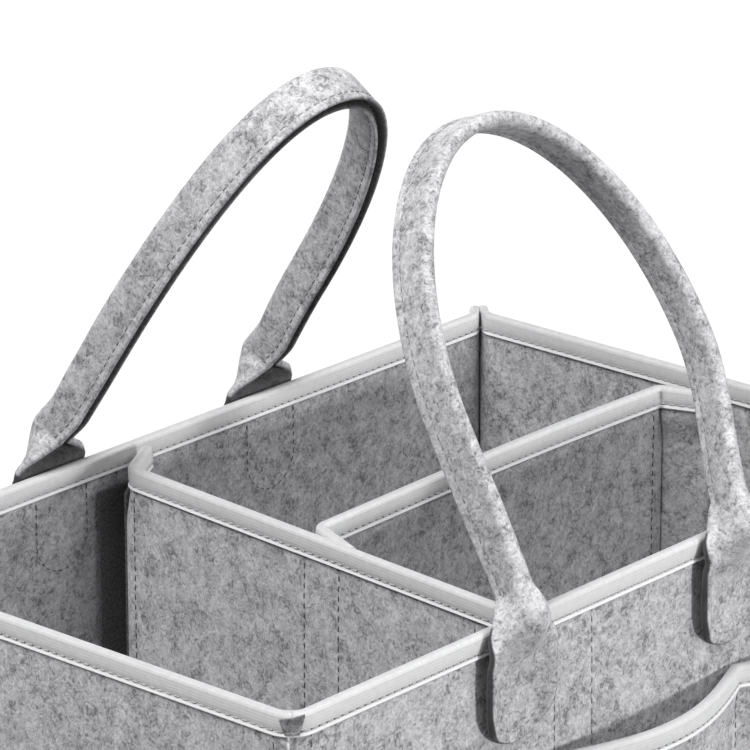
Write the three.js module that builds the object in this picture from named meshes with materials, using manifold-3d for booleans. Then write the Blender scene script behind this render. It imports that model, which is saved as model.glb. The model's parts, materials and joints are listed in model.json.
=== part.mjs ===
// Felt diaper caddy: an open box of thick felt with bound edges and pinched corner seams, two handles
// of folded felt strip, two dividers held by hook-and-loop flaps, and gaping pockets outside.
// Millimetres, +Z up, X along the long side; the origin is the middle of the underside.

import * as THREE from 'three';
import { mergeVertices } from 'three/addons/utils/BufferGeometryUtils.js';
import Module from 'manifold-3d';

const wasm = await Module();
wasm.setup();

// Box
const LENGTH = 380; // over the felt of the end walls
const DEPTH = 236; // over the felt of the long walls
const HEIGHT = 180; // floor to the top of the rim binding
const FELT = 3; // walls, base, dividers, pockets and handles
const SEAT = 0.3; // play between pieces that touch

// Binding tape, folded over every free top edge
const TAPE = 0.6;
const TAPE_DROP = 9; // how far it reaches down each face

// Corner seams: both walls turn out along the diagonal and lie face to face
const SEAM_FLANGE = 8.5;
const SEAM_BEND = 5; // bend radius at the middle of the felt
const SEAM_GAP = 0.4;

// Handles: a strip with wide flat tabs, folded in half lengthwise between them
const TAB_WIDTH = 38;
const HANDLE_STRIP = 34.5; // width between the tabs, before folding
const HANDLE_SPACING = 124; // between the two legs
const TAB_REACH = 47; // below the rim
const FOLD_SLIT = 0.2; // between the two layers of the folded strip
const FOLD_SET_OUT = 4.5; // from the tabs' plane out to the middle of the folded strip
const FOLD_START = 1; // from the bend line to where the strip begins to fold
const FOLD_RUN = 16; // from flat to folded
const BEND_LIFT = 1; // bend line above the rim
const TAB_SLOPE = 55; // degrees, top edge of a tab
// Each loop is widest at its belly, and its belly and crown lie aside from the middle of the tabs. A
// fullness of about 0.55 gives an elliptical crown.
const FRONT_HANDLE = {
  crown: 175,
  belly: 72,
  bellyHeight: 75,
  lean: 28,
  shift: -10,
  bellyAside: 8,
  crownAside: 6,
  fullness: 0.52,
};
const BACK_HANDLE = {
  crown: 189,
  belly: 58.5,
  bellyHeight: 60,
  lean: 33,
  shift: -10.5,
  bellyAside: 0,
  crownAside: -9,
  fullness: 0.56,
};

// Dividers
const CROSS_FRONT_X = -62.5; // corner at the front wall
const CROSS_BACK_X = -46.5; // corner at the back wall
const CROSS_CORNER = 7;
const CROSS_FLAP = 23;
const CROSS_STAND = 13; // how far a flap's bend stands in from its free edge
const CROSS_HOOK_WIDTH = 14;
const CROSS_LOOP_WIDTH = 23;
const CROSS_LOOP_X = -36.6; // middle of the loop strips on the long walls
const LONG_Y = 6;
const LONG_DROP = 4; // top edge below the rim
const LONG_CORNER = 3;
const LONG_NEAR_FLAP = 27;
const LONG_NEAR_HOOK_WIDTH = 17;
const LONG_NEAR_LOOP_WIDTH = 20;
const LONG_FAR_FLAP = 20;
const LONG_FAR_STAND = 10; // as on the cross divider
const LONG_FAR_HOOK_WIDTH = 12;
const LONG_FAR_LOOP_WIDTH = 15;
const FLAP_MARGIN = 2; // from a strip to the flap's free edge
const STRIP = 1.2; // thickness of each hook or loop strip
const STRIP_DROP = 15; // rim to the top of a strip
const STRIP_FOOT = 20; // above the base panel

// Outer pockets on the long walls
const POCKET_DROP = 57; // rim to the bound top edge
const POCKET_FOOT = 6; // bottom edge above the floor
const POCKET_END = 12; // from the corner to the outer seam
const POCKET_SEAM = 58.5; // inner seams each side of the middle
const POCKET_GAPE = 16; // how far each bay's mouth stands open

// Facets
const BEND_STEPS = 5;
const TAB_STEPS = 12;
const BAY_STEPS = 10;
const POCKET_STEPS = 7;
const FOLD_STEPS = 8;
const FOLD_BACK_STEPS = 5; // round the back of the fold
const LOOP_STEPS = 40;
const END_STEPS = 3;
const LEAST_FOLD = 0.001; // radians, stands for flat where a radius is worked out
const WELD = 0.0001; // corners closer than this are one corner

const FELT_GREY = { color: 0xb4b4b8, roughness: 0.95, metalness: 0 };
const TAPE_GREY = { color: 0xdcdcde, roughness: 0.8, metalness: 0 };
const HOOK_GREY = { color: 0x9a9a9e, roughness: 0.9, metalness: 0 };

const vec = (x, y) => new THREE.Vector2(x, y);
const radians = THREE.MathUtils.degToRad;
const tapeTopToFelt = TAPE + SEAT;
const tapeHalf = FELT / 2 + SEAT + TAPE;

const caddy = new THREE.Group();

function addMesh(parent, name, geometry, finish) {
  const mesh = new THREE.Mesh(geometry, new THREE.MeshStandardMaterial(finish));
  mesh.name = name;
  parent.add(mesh);
  return mesh;
}

// Closed solids for cutting and joining, and back again

function toSolid(geometry) {
  const bare = geometry.clone();
  bare.deleteAttribute('normal');
  bare.deleteAttribute('uv');
  const merged = mergeVertices(bare, WELD);
  return new wasm.Manifold(new wasm.Mesh({
    numProp: 3,
    vertProperties: new Float32Array(merged.attributes.position.array),
    triVerts: new Uint32Array(merged.index.array),
  }));
}

function toGeometry(solid) {
  const mesh = solid.getMesh();
  const geometry = new THREE.BufferGeometry();
  geometry.setAttribute('position', new THREE.BufferAttribute(new Float32Array(mesh.vertProperties), 3));
  geometry.setIndex(new THREE.BufferAttribute(new Uint32Array(mesh.triVerts), 1));
  geometry.computeVertexNormals();
  return geometry;
}

// Plan outlines

// Line through the vertices with each inner vertex rounded by an arc.
function roundedPath(vertices, radius) {
  const path = [vertices[0].clone()];
  for (let i = 1; i < vertices.length - 1; i += 1) {
    const before = vertices[i - 1].clone().sub(vertices[i]).normalize();
    const after = vertices[i + 1].clone().sub(vertices[i]).normalize();
    const halfAngle = Math.acos(THREE.MathUtils.clamp(before.dot(after), -1, 1)) / 2;
    const bisector = before.clone().add(after).normalize();
    const centre = vertices[i].clone().addScaledVector(bisector, radius / Math.sin(halfAngle));
    const start = vertices[i].clone().addScaledVector(before, radius / Math.tan(halfAngle)).sub(centre);
    const turn = (Math.PI - 2 * halfAngle) * Math.sign(after.cross(before));
    for (let k = 0; k <= BEND_STEPS; k += 1) {
      path.push(start.clone().rotateAround(vec(0, 0), (turn * k) / BEND_STEPS).add(centre));
    }
  }
  path.push(vertices.at(-1).clone());
  return path;
}

// The same line with both ends drawn out.
function lengthened(path, by) {
  const out = path.map((p) => p.clone());
  out[0].addScaledVector(path[0].clone().sub(path[1]).normalize(), by);
  out.at(-1).addScaledVector(path.at(-1).clone().sub(path.at(-2)).normalize(), by);
  return out;
}

// Closed outline of a sheet that lies along a line, with mitred corners.
function ribbon(path, half) {
  const left = [];
  const right = [];
  path.forEach((point, i) => {
    const into = point.clone().sub(path[Math.max(i - 1, 0)]);
    const out = path[Math.min(i + 1, path.length - 1)].clone().sub(point);
    const a = (into.lengthSq() > 0 ? into : out).clone().normalize();
    const b = (out.lengthSq() > 0 ? out : into).clone().normalize();
    const along = a.clone().add(b).normalize();
    const mitre = half / along.dot(a);
    const normal = vec(-along.y, along.x).multiplyScalar(mitre);
    left.push(point.clone().add(normal));
    right.push(point.clone().sub(normal));
  });
  return [...right, ...left.reverse()];
}

function prism(outline, bottom, top) {
  const depth = top - bottom;
  const geometry = new THREE.ExtrudeGeometry(new THREE.Shape(outline), { depth, bevelEnabled: false });
  return geometry.translate(0, 0, bottom);
}

// Closed skin over rings of equally many points. The flat ring shows how the ends are closed.
function loft(rings, flatRing) {
  const count = rings[0].length;
  const last = (rings.length - 1) * count;
  const faces = [];
  for (let first = 0; first < last; first += count) {
    for (let k = 0; k < count; k += 1) {
      const a = first + k;
      const b = first + ((k + 1) % count);
      faces.push(a, b, b + count, a, b + count, a + count);
    }
  }
  for (const [a, b, c] of THREE.ShapeUtils.triangulateShape(flatRing, [])) {
    faces.push(c, b, a, last + a, last + b, last + c);
  }
  const geometry = new THREE.BufferGeometry().setFromPoints(rings.flat());
  geometry.setIndex(faces);
  geometry.computeVertexNormals();
  return geometry;
}

// Tape folded over a top edge: a channel whose web lies on the edge.
function bindingSolid(path, top) {
  const tape = toSolid(prism(ribbon(path, tapeHalf), top - TAPE_DROP, top));
  const edge = ribbon(lengthened(path, TAPE), FELT / 2 + SEAT);
  return tape.subtract(toSolid(prism(edge, top - TAPE_DROP - TAPE, top - TAPE)));
}

// Walls. Each is drawn along local X with its outside facing local -Y.

function wallPath(length) {
  const bendX = length / 2 - FELT / 2 - (SEAM_GAP + FELT) * Math.SQRT1_2;
  const out = SEAM_FLANGE * Math.SQRT1_2;
  return roundedPath(
    [vec(-bendX - out, -out), vec(-bendX, 0), vec(bendX, 0), vec(bendX + out, -out)],
    SEAM_BEND,
  );
}

// The share of the rim that belongs to one wall, up to the diagonals of its corners.
function wallSector(length) {
  const reach = SEAM_FLANGE + 2 * FELT;
  const corner = length / 2 - FELT / 2 - SEAM_GAP * Math.SQRT1_2;
  return [
    vec(-corner + reach, reach),
    vec(-corner - reach, -reach),
    vec(corner + reach, -reach),
    vec(corner - reach, reach),
  ];
}

function addWall(side, length, acrossBox, turn) {
  const seat = new THREE.Group();
  seat.rotation.z = turn;
  const stand = new THREE.Group();
  stand.position.y = -acrossBox / 2 + FELT / 2;
  seat.add(stand);
  caddy.add(seat);

  const path = wallPath(length);
  addMesh(stand, `${side}_wall`, prism(ribbon(path, FELT / 2), 0, HEIGHT - tapeTopToFelt), FELT_GREY);
  const share = toSolid(prism(wallSector(length), 0, HEIGHT + TAPE));
  const tape = bindingSolid(path, HEIGHT).intersect(share);
  addMesh(stand, `${side}_rim_binding`, toGeometry(tape), TAPE_GREY);
  return seat;
}

function addBase() {
  const inset = 2 * (FELT + SEAT);
  const panel = new THREE.BoxGeometry(LENGTH - inset, DEPTH - inset, FELT).translate(0, 0, FELT / 2);
  addMesh(caddy, 'base_panel', panel, FELT_GREY);
}

// Handles. Each is drawn on the front wall's outside, with the box towards local +Y.

const tabFace = SEAT; // wall to tab, below the binding
const tabOverTape = 2 * SEAT + TAPE; // wall to tab, over the binding
const bendY = tabOverTape + FELT / 2; // wall to the line where the handle bends
const bendZ = HEIGHT + BEND_LIFT;

function addTab(wall, name, x) {
  const half = FELT / 2;
  const tapeFoot = HEIGHT - TAPE_DROP - SEAT;
  const foot = HEIGHT - TAB_REACH;
  const top = bendZ - half - SEAT;
  const side = [
    vec(-tabFace - half, foot),
    vec(-tabFace - half, tapeFoot - FELT),
    vec(-bendY, tapeFoot),
    vec(-bendY, top),
  ];
  const profile = prism(ribbon(side, half), -TAB_WIDTH / 2, TAB_WIDTH / 2);
  profile.rotateX(Math.PI / 2).rotateZ(Math.PI / 2);

  const radius = TAB_WIDTH / 2;
  const outline = new THREE.Shape();
  outline.moveTo(radius, bendZ);
  outline.lineTo(-radius, bendZ);
  outline.lineTo(-radius, foot + radius);
  outline.absarc(0, foot + radius, radius, Math.PI, 2 * Math.PI, false);
  const depth = bendY + FELT;
  const plate = new THREE.ExtrudeGeometry(outline, { depth, bevelEnabled: false, curveSegments: TAB_STEPS });
  plate.rotateX(Math.PI / 2);

  // The top edge slopes away so that the loop can hang outwards past it.
  const relief = new THREE.BoxGeometry(TAB_WIDTH + FELT, TAB_WIDTH, TAB_WIDTH);
  relief.translate(0, 0, TAB_WIDTH / 2 - half - SEAT);
  relief.rotateX(radians(TAB_SLOPE));
  relief.translate(0, -bendY, bendZ);

  const tab = toSolid(profile).intersect(toSolid(plate)).subtract(toSolid(relief));
  const mesh = addMesh(wall, name, toGeometry(tab), FELT_GREY);
  mesh.position.set(x, -DEPTH / 2, 0);
}

// Middle line of the loop from foot to foot, in its own plane.
function loopCurve({ crown, belly, bellyHeight, bellyAside, crownAside, fullness }, rightward) {
  const foot = HANDLE_SPACING / 2;
  const rise = crown - bellyHeight;
  const top = rightward * crownAside;
  const widest = (side) => rightward * bellyAside + side * belly;
  const leg = (side) => [
    vec(side * foot, 0),
    vec(side * foot, bellyHeight / 3),
    vec(widest(side), (2 * bellyHeight) / 3),
    vec(widest(side), bellyHeight),
  ];
  const arch = (side) => [
    vec(widest(side), bellyHeight),
    vec(widest(side), bellyHeight + fullness * rise),
    vec(top + side * fullness * belly, crown),
    vec(top, crown),
  ];
  const curve = new THREE.CurvePath();
  curve.add(new THREE.CubicBezierCurve(...leg(-1)));
  curve.add(new THREE.CubicBezierCurve(...arch(-1)));
  curve.add(new THREE.CubicBezierCurve(...arch(1).reverse()));
  curve.add(new THREE.CubicBezierCurve(...leg(1).reverse()));
  return curve;
}

// Section of the strip: each half is folded in about the strip's middle by the given angle, while the bulk
// moves out from the tabs' plane.
function stripSection(fold, half, edge) {
  const bendRadius = (FELT + FOLD_SLIT) / 2;
  const bendZone = (bendRadius * Math.PI) / 2;
  const curl = Math.max(fold, LEAST_FOLD) / bendZone;
  const middle = (u) => {
    const inZone = THREE.MathUtils.clamp(u, -bendZone, bendZone);
    const angle = curl * inZone;
    const rest = u - inZone;
    return {
      at: vec(Math.sin(angle) / curl + rest * Math.cos(angle),
        (1 - Math.cos(angle)) / curl + Math.abs(rest) * Math.sin(Math.abs(angle))),
      normal: vec(-Math.sin(angle), Math.cos(angle)),
    };
  };
  const outerStops = [-edge];
  for (let k = 0; k <= FOLD_BACK_STEPS; k += 1) {
    outerStops.push(THREE.MathUtils.lerp(-bendZone, bendZone, k / FOLD_BACK_STEPS));
  }
  outerStops.push(edge);
  const innerStops = [edge, bendZone, 0, -bendZone, -edge];
  const side = (stops, offset) => stops.map((u) => {
    const { at, normal } = middle(u);
    return at.addScaledVector(normal, offset);
  });
  const bulk = (middle(edge).at.y - half * Math.sin(fold)) / 2 + FOLD_SET_OUT * Math.sin(fold);
  return [...side(outerStops, -half), ...side(innerStops, half)].map((p) => vec(p.x, p.y - bulk));
}

function handleLoop(spec, rightward) {
  const curve = loopCurve(spec, rightward);
  const total = curve.getLength();
  const foldEnd = FOLD_START + FOLD_RUN;
  const stations = [];
  for (let k = 0; k < FOLD_STEPS; k += 1) stations.push((foldEnd * k) / FOLD_STEPS);
  for (let k = 0; k <= LOOP_STEPS; k += 1) {
    stations.push(foldEnd + ((total - 2 * foldEnd) * k) / LOOP_STEPS);
  }
  for (let k = FOLD_STEPS - 1; k >= 0; k -= 1) stations.push(total - (foldEnd * k) / FOLD_STEPS);

  const ringAt = (distance, half, drop) => {
    const fromEnd = Math.min(distance, total - distance);
    const folded = THREE.MathUtils.smoothstep(fromEnd, FOLD_START, foldEnd);
    const edge = THREE.MathUtils.lerp(TAB_WIDTH, HANDLE_STRIP, folded) / 2;
    const at = curve.getPointAt(distance / total);
    const along = curve.getTangentAt(distance / total);
    return stripSection((Math.PI / 2) * folded, half, edge).map(
      (p) => new THREE.Vector3(at.x + p.x * along.y, p.y, at.y - p.x * along.x - drop),
    );
  };
  // Each end is rounded about the bend line.
  const rounded = (distance) => Array.from({ length: END_STEPS }, (_, k) => {
    const angle = (Math.PI / 2) * ((k + 1) / (END_STEPS + 1));
    return ringAt(distance, (FELT / 2) * Math.cos(angle), (FELT / 2) * Math.sin(angle));
  });
  const rings = [
    ...rounded(0).reverse(),
    ...stations.map((d) => ringAt(d, FELT / 2, 0)),
    ...rounded(total),
  ];
  return loft(rings, stripSection(0, FELT / 2, TAB_WIDTH / 2));
}

function addHandle(wall, side, spec) {
  const rightward = Math.cos(wall.rotation.z); // the wall's own X runs to the left on the back wall
  const seat = new THREE.Group();
  seat.position.x = rightward * spec.shift;
  wall.add(seat);
  addTab(seat, `${side}_handle_left_tab`, (-rightward * HANDLE_SPACING) / 2);
  addTab(seat, `${side}_handle_right_tab`, (rightward * HANDLE_SPACING) / 2);
  const loop = addMesh(seat, `${side}_handle_loop`, handleLoop(spec, rightward), FELT_GREY);
  loop.position.set(0, -DEPTH / 2 - bendY, bendZ);
  loop.rotation.x = -radians(spec.lean);
}

// Pockets: sewn down at the seams and along the foot, gaping between them at the top.

function addPocket(wall, side) {
  const end = LENGTH / 2 - POCKET_END;
  const seams = [-end, -POCKET_SEAM, POCKET_SEAM, end];
  const steepest = Math.atan((Math.PI * POCKET_GAPE) / Math.min(2 * POCKET_SEAM, end - POCKET_SEAM));
  const standOff = SEAT + tapeHalf / Math.cos(steepest);
  const top = HEIGHT - POCKET_DROP;
  const feltTop = top - tapeTopToFelt;

  const plan = (open) => {
    const points = [];
    for (let bay = 0; bay < seams.length - 1; bay += 1) {
      for (let k = bay ? 1 : 0; k <= BAY_STEPS; k += 1) {
        const u = k / BAY_STEPS;
        const bulge = open * POCKET_GAPE * Math.sin(Math.PI * u);
        points.push(vec(THREE.MathUtils.lerp(seams[bay], seams[bay + 1], u), -standOff - bulge));
      }
    }
    return points;
  };
  const rings = [];
  for (let k = 0; k <= POCKET_STEPS; k += 1) {
    const v = k / POCKET_STEPS;
    const z = THREE.MathUtils.lerp(POCKET_FOOT, feltTop, v);
    const outline = ribbon(plan(Math.sin((Math.PI / 2) * v)), FELT / 2);
    rings.push(outline.map((p) => new THREE.Vector3(p.x, p.y, z)));
  }
  const flat = rings.at(-1).map((p) => vec(p.x, p.y));
  const panel = addMesh(wall, `${side}_pocket`, loft(rings, flat), FELT_GREY);
  panel.position.y = -DEPTH / 2;
  const tape = toGeometry(bindingSolid(plan(1), top));
  addMesh(wall, `${side}_pocket_binding`, tape, TAPE_GREY).position.y = -DEPTH / 2;
}

// Dividers

function addDivider(name, path, top) {
  const felt = prism(ribbon(path, FELT / 2), FELT + SEAT, top - tapeTopToFelt);
  addMesh(caddy, name, felt, FELT_GREY);
  addMesh(caddy, `${name}_binding`, toGeometry(bindingSolid(path, top)), TAPE_GREY);
}

// Upright strip on a face, whose normal points away from that face.
function addStrip(name, onFace, normal, width) {
  const foot = FELT + STRIP_FOOT;
  const height = HEIGHT - STRIP_DROP - foot;
  const block = new THREE.BoxGeometry(width, STRIP, height);
  const strip = addMesh(caddy, `${name}_strip`, block, HOOK_GREY);
  const middle = onFace.clone().addScaledVector(normal, SEAT + STRIP / 2);
  strip.position.set(middle.x, middle.y, foot + height / 2);
  strip.rotation.z = normal.angle() + Math.PI / 2;
}

// Flap from its bend to its free edge, which a hook strip holds to the loop strip on the face behind it.
// The edge touches that face where the flap leans to it, and the whole flap lies on it where it doesn't.
function flap(face, alongFace, outOfFace, length, stand) {
  const lean = Math.asin(stand / length);
  const hookOut = FELT / 2 + SEAT + STRIP;
  const overStrips = 2 * SEAT + STRIP + hookOut * Math.cos(lean) - FLAP_MARGIN * Math.sin(lean);
  const overTapes = 2 * SEAT + TAPE + tapeHalf * Math.cos(lean);
  const edgeOut = Math.max(overStrips, overTapes);
  const bend = face.clone().addScaledVector(outOfFace, edgeOut + stand);
  const edge = face.clone().addScaledVector(outOfFace, edgeOut);
  edge.addScaledVector(alongFace, length * Math.cos(lean));
  return { bend, edge, face, outOfFace };
}

// Adds the hook strip on a flap's face and returns the middle of its place on the face behind it.
function addHookStrip(name, { bend, edge, face, outOfFace }, width) {
  const back = bend.clone().sub(edge).normalize();
  const toFace = vec(-back.y, back.x);
  toFace.multiplyScalar(-Math.sign(toFace.dot(outOfFace)));
  const middle = edge.clone().addScaledVector(back, FLAP_MARGIN + width / 2);
  addStrip(`${name}_hook`, middle.clone().addScaledVector(toFace, FELT / 2), toFace, width);
  return middle.addScaledVector(outOfFace, face.clone().sub(middle).dot(outOfFace));
}

function addDividers() {
  const frontFace = vec(CROSS_FRONT_X, FELT - DEPTH / 2);
  const backFace = vec(CROSS_BACK_X, DEPTH / 2 - FELT);
  const rightFace = vec(LENGTH / 2 - FELT, LONG_Y);
  const right = vec(1, 0);
  const left = vec(-1, 0);
  const inwards = vec(0, 1); // from the front wall
  const outwards = vec(0, -1);
  const front = flap(frontFace, right, inwards, CROSS_FLAP, CROSS_STAND);
  const back = flap(backFace, right, outwards, CROSS_FLAP, CROSS_STAND);
  const crossLine = roundedPath([front.edge, front.bend, back.bend, back.edge], CROSS_CORNER);
  addDivider('cross_divider', crossLine, HEIGHT);
  addHookStrip('cross_divider_front', front, CROSS_HOOK_WIDTH);
  addHookStrip('cross_divider_back', back, CROSS_HOOK_WIDTH);
  addStrip('front_wall_loop', vec(CROSS_LOOP_X, frontFace.y), inwards, CROSS_LOOP_WIDTH);
  addStrip('back_wall_loop', vec(CROSS_LOOP_X, backFace.y), outwards, CROSS_LOOP_WIDTH);

  const along = back.bend.clone().sub(front.bend).normalize();
  const across = vec(along.y, -along.x);
  const crossFace = front.bend.clone().addScaledVector(across, FELT / 2);
  crossFace.addScaledVector(along, (LONG_Y - crossFace.y) / along.y);
  const near = flap(crossFace, along.clone().negate(), across, LONG_NEAR_FLAP, 0);
  const far = flap(rightFace, outwards, left, LONG_FAR_FLAP, LONG_FAR_STAND);
  const longLine = roundedPath([near.edge, near.bend, far.bend, far.edge], LONG_CORNER);
  addDivider('long_divider', longLine, HEIGHT - LONG_DROP);
  const nearPlace = addHookStrip('long_divider_near', near, LONG_NEAR_HOOK_WIDTH);
  const farPlace = addHookStrip('long_divider_far', far, LONG_FAR_HOOK_WIDTH);
  addStrip('cross_divider_loop', nearPlace, across, LONG_NEAR_LOOP_WIDTH);
  addStrip('right_wall_loop', farPlace, left, LONG_FAR_LOOP_WIDTH);
}

const frontWall = addWall('front', LENGTH, DEPTH, 0);
const backWall = addWall('back', LENGTH, DEPTH, Math.PI);
addWall('right', DEPTH, LENGTH, Math.PI / 2);
addWall('left', DEPTH, LENGTH, -Math.PI / 2);
addBase();
addHandle(frontWall, 'front', FRONT_HANDLE);
addHandle(backWall, 'back', BACK_HANDLE);
addPocket(frontWall, 'front');
addPocket(backWall, 'back');
addDividers();

export default caddy;
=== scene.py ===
"""Felt diaper caddy: bound felt walls, folded handles, removable dividers and gaping pockets.

Every panel of felt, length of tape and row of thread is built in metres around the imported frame, which
gives the size of the box, the hinge lines of the handles and the bodies that the pieces ride on.
"""

import json
import logging
import math
from dataclasses import dataclass
from enum import Enum
from typing import Sequence

import bmesh
import bpy
import numpy as np
from mathutils import Matrix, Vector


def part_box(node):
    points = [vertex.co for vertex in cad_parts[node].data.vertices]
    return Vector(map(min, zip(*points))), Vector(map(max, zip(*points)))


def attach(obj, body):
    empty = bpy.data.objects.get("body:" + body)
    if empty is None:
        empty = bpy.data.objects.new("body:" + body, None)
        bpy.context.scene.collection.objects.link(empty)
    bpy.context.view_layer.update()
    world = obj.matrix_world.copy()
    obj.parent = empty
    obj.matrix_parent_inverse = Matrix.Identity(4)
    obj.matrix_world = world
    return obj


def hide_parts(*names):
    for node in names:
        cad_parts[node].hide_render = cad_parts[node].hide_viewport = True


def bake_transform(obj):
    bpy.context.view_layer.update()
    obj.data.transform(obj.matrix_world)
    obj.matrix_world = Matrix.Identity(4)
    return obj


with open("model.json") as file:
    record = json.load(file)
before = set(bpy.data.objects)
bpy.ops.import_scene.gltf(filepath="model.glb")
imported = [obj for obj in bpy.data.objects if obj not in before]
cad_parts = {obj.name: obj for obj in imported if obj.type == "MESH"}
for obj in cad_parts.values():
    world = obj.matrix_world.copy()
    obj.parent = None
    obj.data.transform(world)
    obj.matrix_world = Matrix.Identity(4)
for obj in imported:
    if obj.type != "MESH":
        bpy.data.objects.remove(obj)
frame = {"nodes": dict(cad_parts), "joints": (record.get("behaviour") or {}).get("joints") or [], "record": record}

log = logging.getLogger("caddy")

MM = 0.001
FELT = 3.0 * MM
HALF_FELT = FELT / 2
SEAT = 0.3 * MM  # play between pieces that touch
FELT_EDGE = 0.9 * MM  # how far a cut edge swells past the panel
EDGE_RINGS = 3  # rings of points round a cut edge
STITCH_LIFT = 0.12 * MM  # middle of a thread above the face that it is sewn to
FELT_FACE = HALF_FELT + STITCH_LIFT  # middle of the felt to the middle of a thread on its face
ARC_STEPS = 9  # points of an arc that rounds a corner
FINE_STEPS = 1500  # points among which a nearest place or angle is looked for

CADDY = "caddy"
LONG_DIVIDER = "long_divider"
TAPE_UV = "along_tape"
# attribute that marks where shade is painted into the felt's colour
PAINTED_SHADE = "inner_face"
WHITE = (1.0, 1.0, 1.0, 1.0)

Colour = tuple[float, float, float]
Grid = np.ndarray


# Shader expressions


class Wire:
    """An output socket that adds Math nodes when it is used in an expression."""

    def __init__(self, nodes: "Nodes", socket: bpy.types.NodeSocket) -> None:
        """Keeps the socket and the tree that it belongs to."""
        self.nodes = nodes
        self.socket = socket

    def __add__(self, other: "Wire | float") -> "Wire":
        """Sum with a wire or a number."""
        return self.nodes.math("ADD", self, other)

    def __sub__(self, other: "Wire | float") -> "Wire":
        """Difference with a wire or a number."""
        return self.nodes.math("SUBTRACT", self, other)

    def __rsub__(self, other: float) -> "Wire":
        """Number less this wire."""
        return self.nodes.math("SUBTRACT", other, self)

    def __mul__(self, other: "Wire | float") -> "Wire":
        """Product with a wire or a number."""
        return self.nodes.math("MULTIPLY", self, other)


class Nodes:
    """Adds nodes to one tree."""

    MIX_FIRST = 6  # the colour inputs of a Mix node, by number
    MIX_SECOND = 7
    MIX_RESULT = 2

    def __init__(self, tree: bpy.types.NodeTree) -> None:
        """Keeps the tree."""
        self.tree = tree

    def add(self, kind: str, settings: dict | None = None, sockets: dict | None = None) -> bpy.types.Node:
        """Adds a node.

        Args:
            kind: The node's type.
            settings: Attributes that are set first; stops are a colour ramp's (position, colour) pairs.
            sockets: A value or a Wire for each input, by name or number.

        Returns:
            The new node.
        """
        node = self.tree.nodes.new(kind)
        for name, value in (settings or {}).items():
            if name == "stops":
                self.set_stops(node.color_ramp, value)
            else:
                setattr(node, name, value)
        for name, value in (sockets or {}).items():
            if isinstance(value, Wire):
                self.tree.links.new(value.socket, node.inputs[name])
            else:
                node.inputs[name].default_value = value
        return node

    @staticmethod
    def set_stops(ramp: bpy.types.ColorRamp, stops: Sequence[tuple[float, Colour]]) -> None:
        """Sets a colour ramp's stops.

        Args:
            ramp: The colour ramp.
            stops: Position and colour of each stop.
        """
        while len(ramp.elements) < len(stops):
            ramp.elements.new(1.0)
        for element, (position, colour) in zip(ramp.elements, stops):
            element.position = position
            element.color = (*colour, 1.0)

    def wire(self, kind: str, settings: dict | None = None, sockets: dict | None = None,
             output: str | int = 0) -> Wire:
        """Adds a node and returns one of its outputs.

        Args:
            kind: The node's type.
            settings: Attributes that are set first.
            sockets: A value or a Wire for each input.
            output: The output's name or number.

        Returns:
            The output as a Wire.
        """
        return Wire(self, self.add(kind, settings, sockets).outputs[output])

    def math(self, operation: str, first: Wire | float, second: Wire | float = 0.0) -> Wire:
        """Adds a Math node and returns its result."""
        return self.wire("ShaderNodeMath", {"operation": operation}, {0: first, 1: second})

    def bell(self, off: Wire) -> Wire:
        """Adds a bell curve that is 1 where the wire is nothing."""
        return self.math("EXPONENT", off * off * -1.0)

    def wave(self, along: Wire) -> Wire:
        """Adds a wave between 0 and 1 of an angle."""
        return self.math("SINE", along) * 0.5 + 0.5

    def ramp(self, tone: Wire, stops: Sequence[tuple[float, Colour]]) -> Wire:
        """Adds a colour ramp and returns its colour."""
        return self.wire("ShaderNodeValToRGB", {"stops": stops}, {0: tone})

    def mix(self, share: Wire, first: Wire, second: Colour) -> Wire:
        """Adds a mix of two colours and returns its result."""
        sockets = {0: share, self.MIX_FIRST: first, self.MIX_SECOND: (*second, 1.0)}
        return self.wire("ShaderNodeMix", {"data_type": "RGBA"}, sockets, self.MIX_RESULT)

    def object_place(self) -> Wire:
        """Adds the object's own coordinates."""
        return self.wire("ShaderNodeTexCoord", output="Object")


class Surface:
    """A new material with no nodes in it yet."""

    def __init__(self, name: str) -> None:
        """Makes the material.

        Args:
            name: The material's name.
        """
        self.material = bpy.data.materials.new(name)
        self.material.use_nodes = True
        self.material.node_tree.nodes.clear()
        self.nodes = Nodes(self.material.node_tree)

    def dress(self, colour: Wire, height: Wire, strength: float, relief: float,
              constants: dict[str, float]) -> bpy.types.Material:
        """Joins a colour and a relief to a Principled shader.

        Args:
            colour: The base colour.
            height: The relief, from 0 to 1.
            strength: How strongly the relief shows.
            relief: Its depth.
            constants: Values of the shader's other sockets.

        Returns:
            The finished material.
        """
        sockets = {"Strength": strength, "Distance": relief, "Height": height}
        bump = self.nodes.wire("ShaderNodeBump", None, sockets)
        sockets = {"Base Color": colour, "Normal": bump, **constants}
        shader = self.nodes.wire("ShaderNodeBsdfPrincipled", None, sockets)
        self.nodes.add("ShaderNodeOutputMaterial", None, {"Surface": shader})
        return self.material


# Finishes


@dataclass(frozen=True)
class Grain:
    """One size of noise in a finish, and its shares of the finish's tone and relief."""

    scale: float  # grains in a metre
    detail: float = 2.0
    curl: float = 0.0
    tone: float = 0.0
    relief: float = 0.0

    def wire(self, nodes: Nodes, at: Wire) -> Wire:
        """Adds the noise and returns its value."""
        sockets = {"Vector": at, "Scale": self.scale, "Detail": self.detail, "Distortion": self.curl}
        return nodes.wire("ShaderNodeTexNoise", None, sockets)


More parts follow.
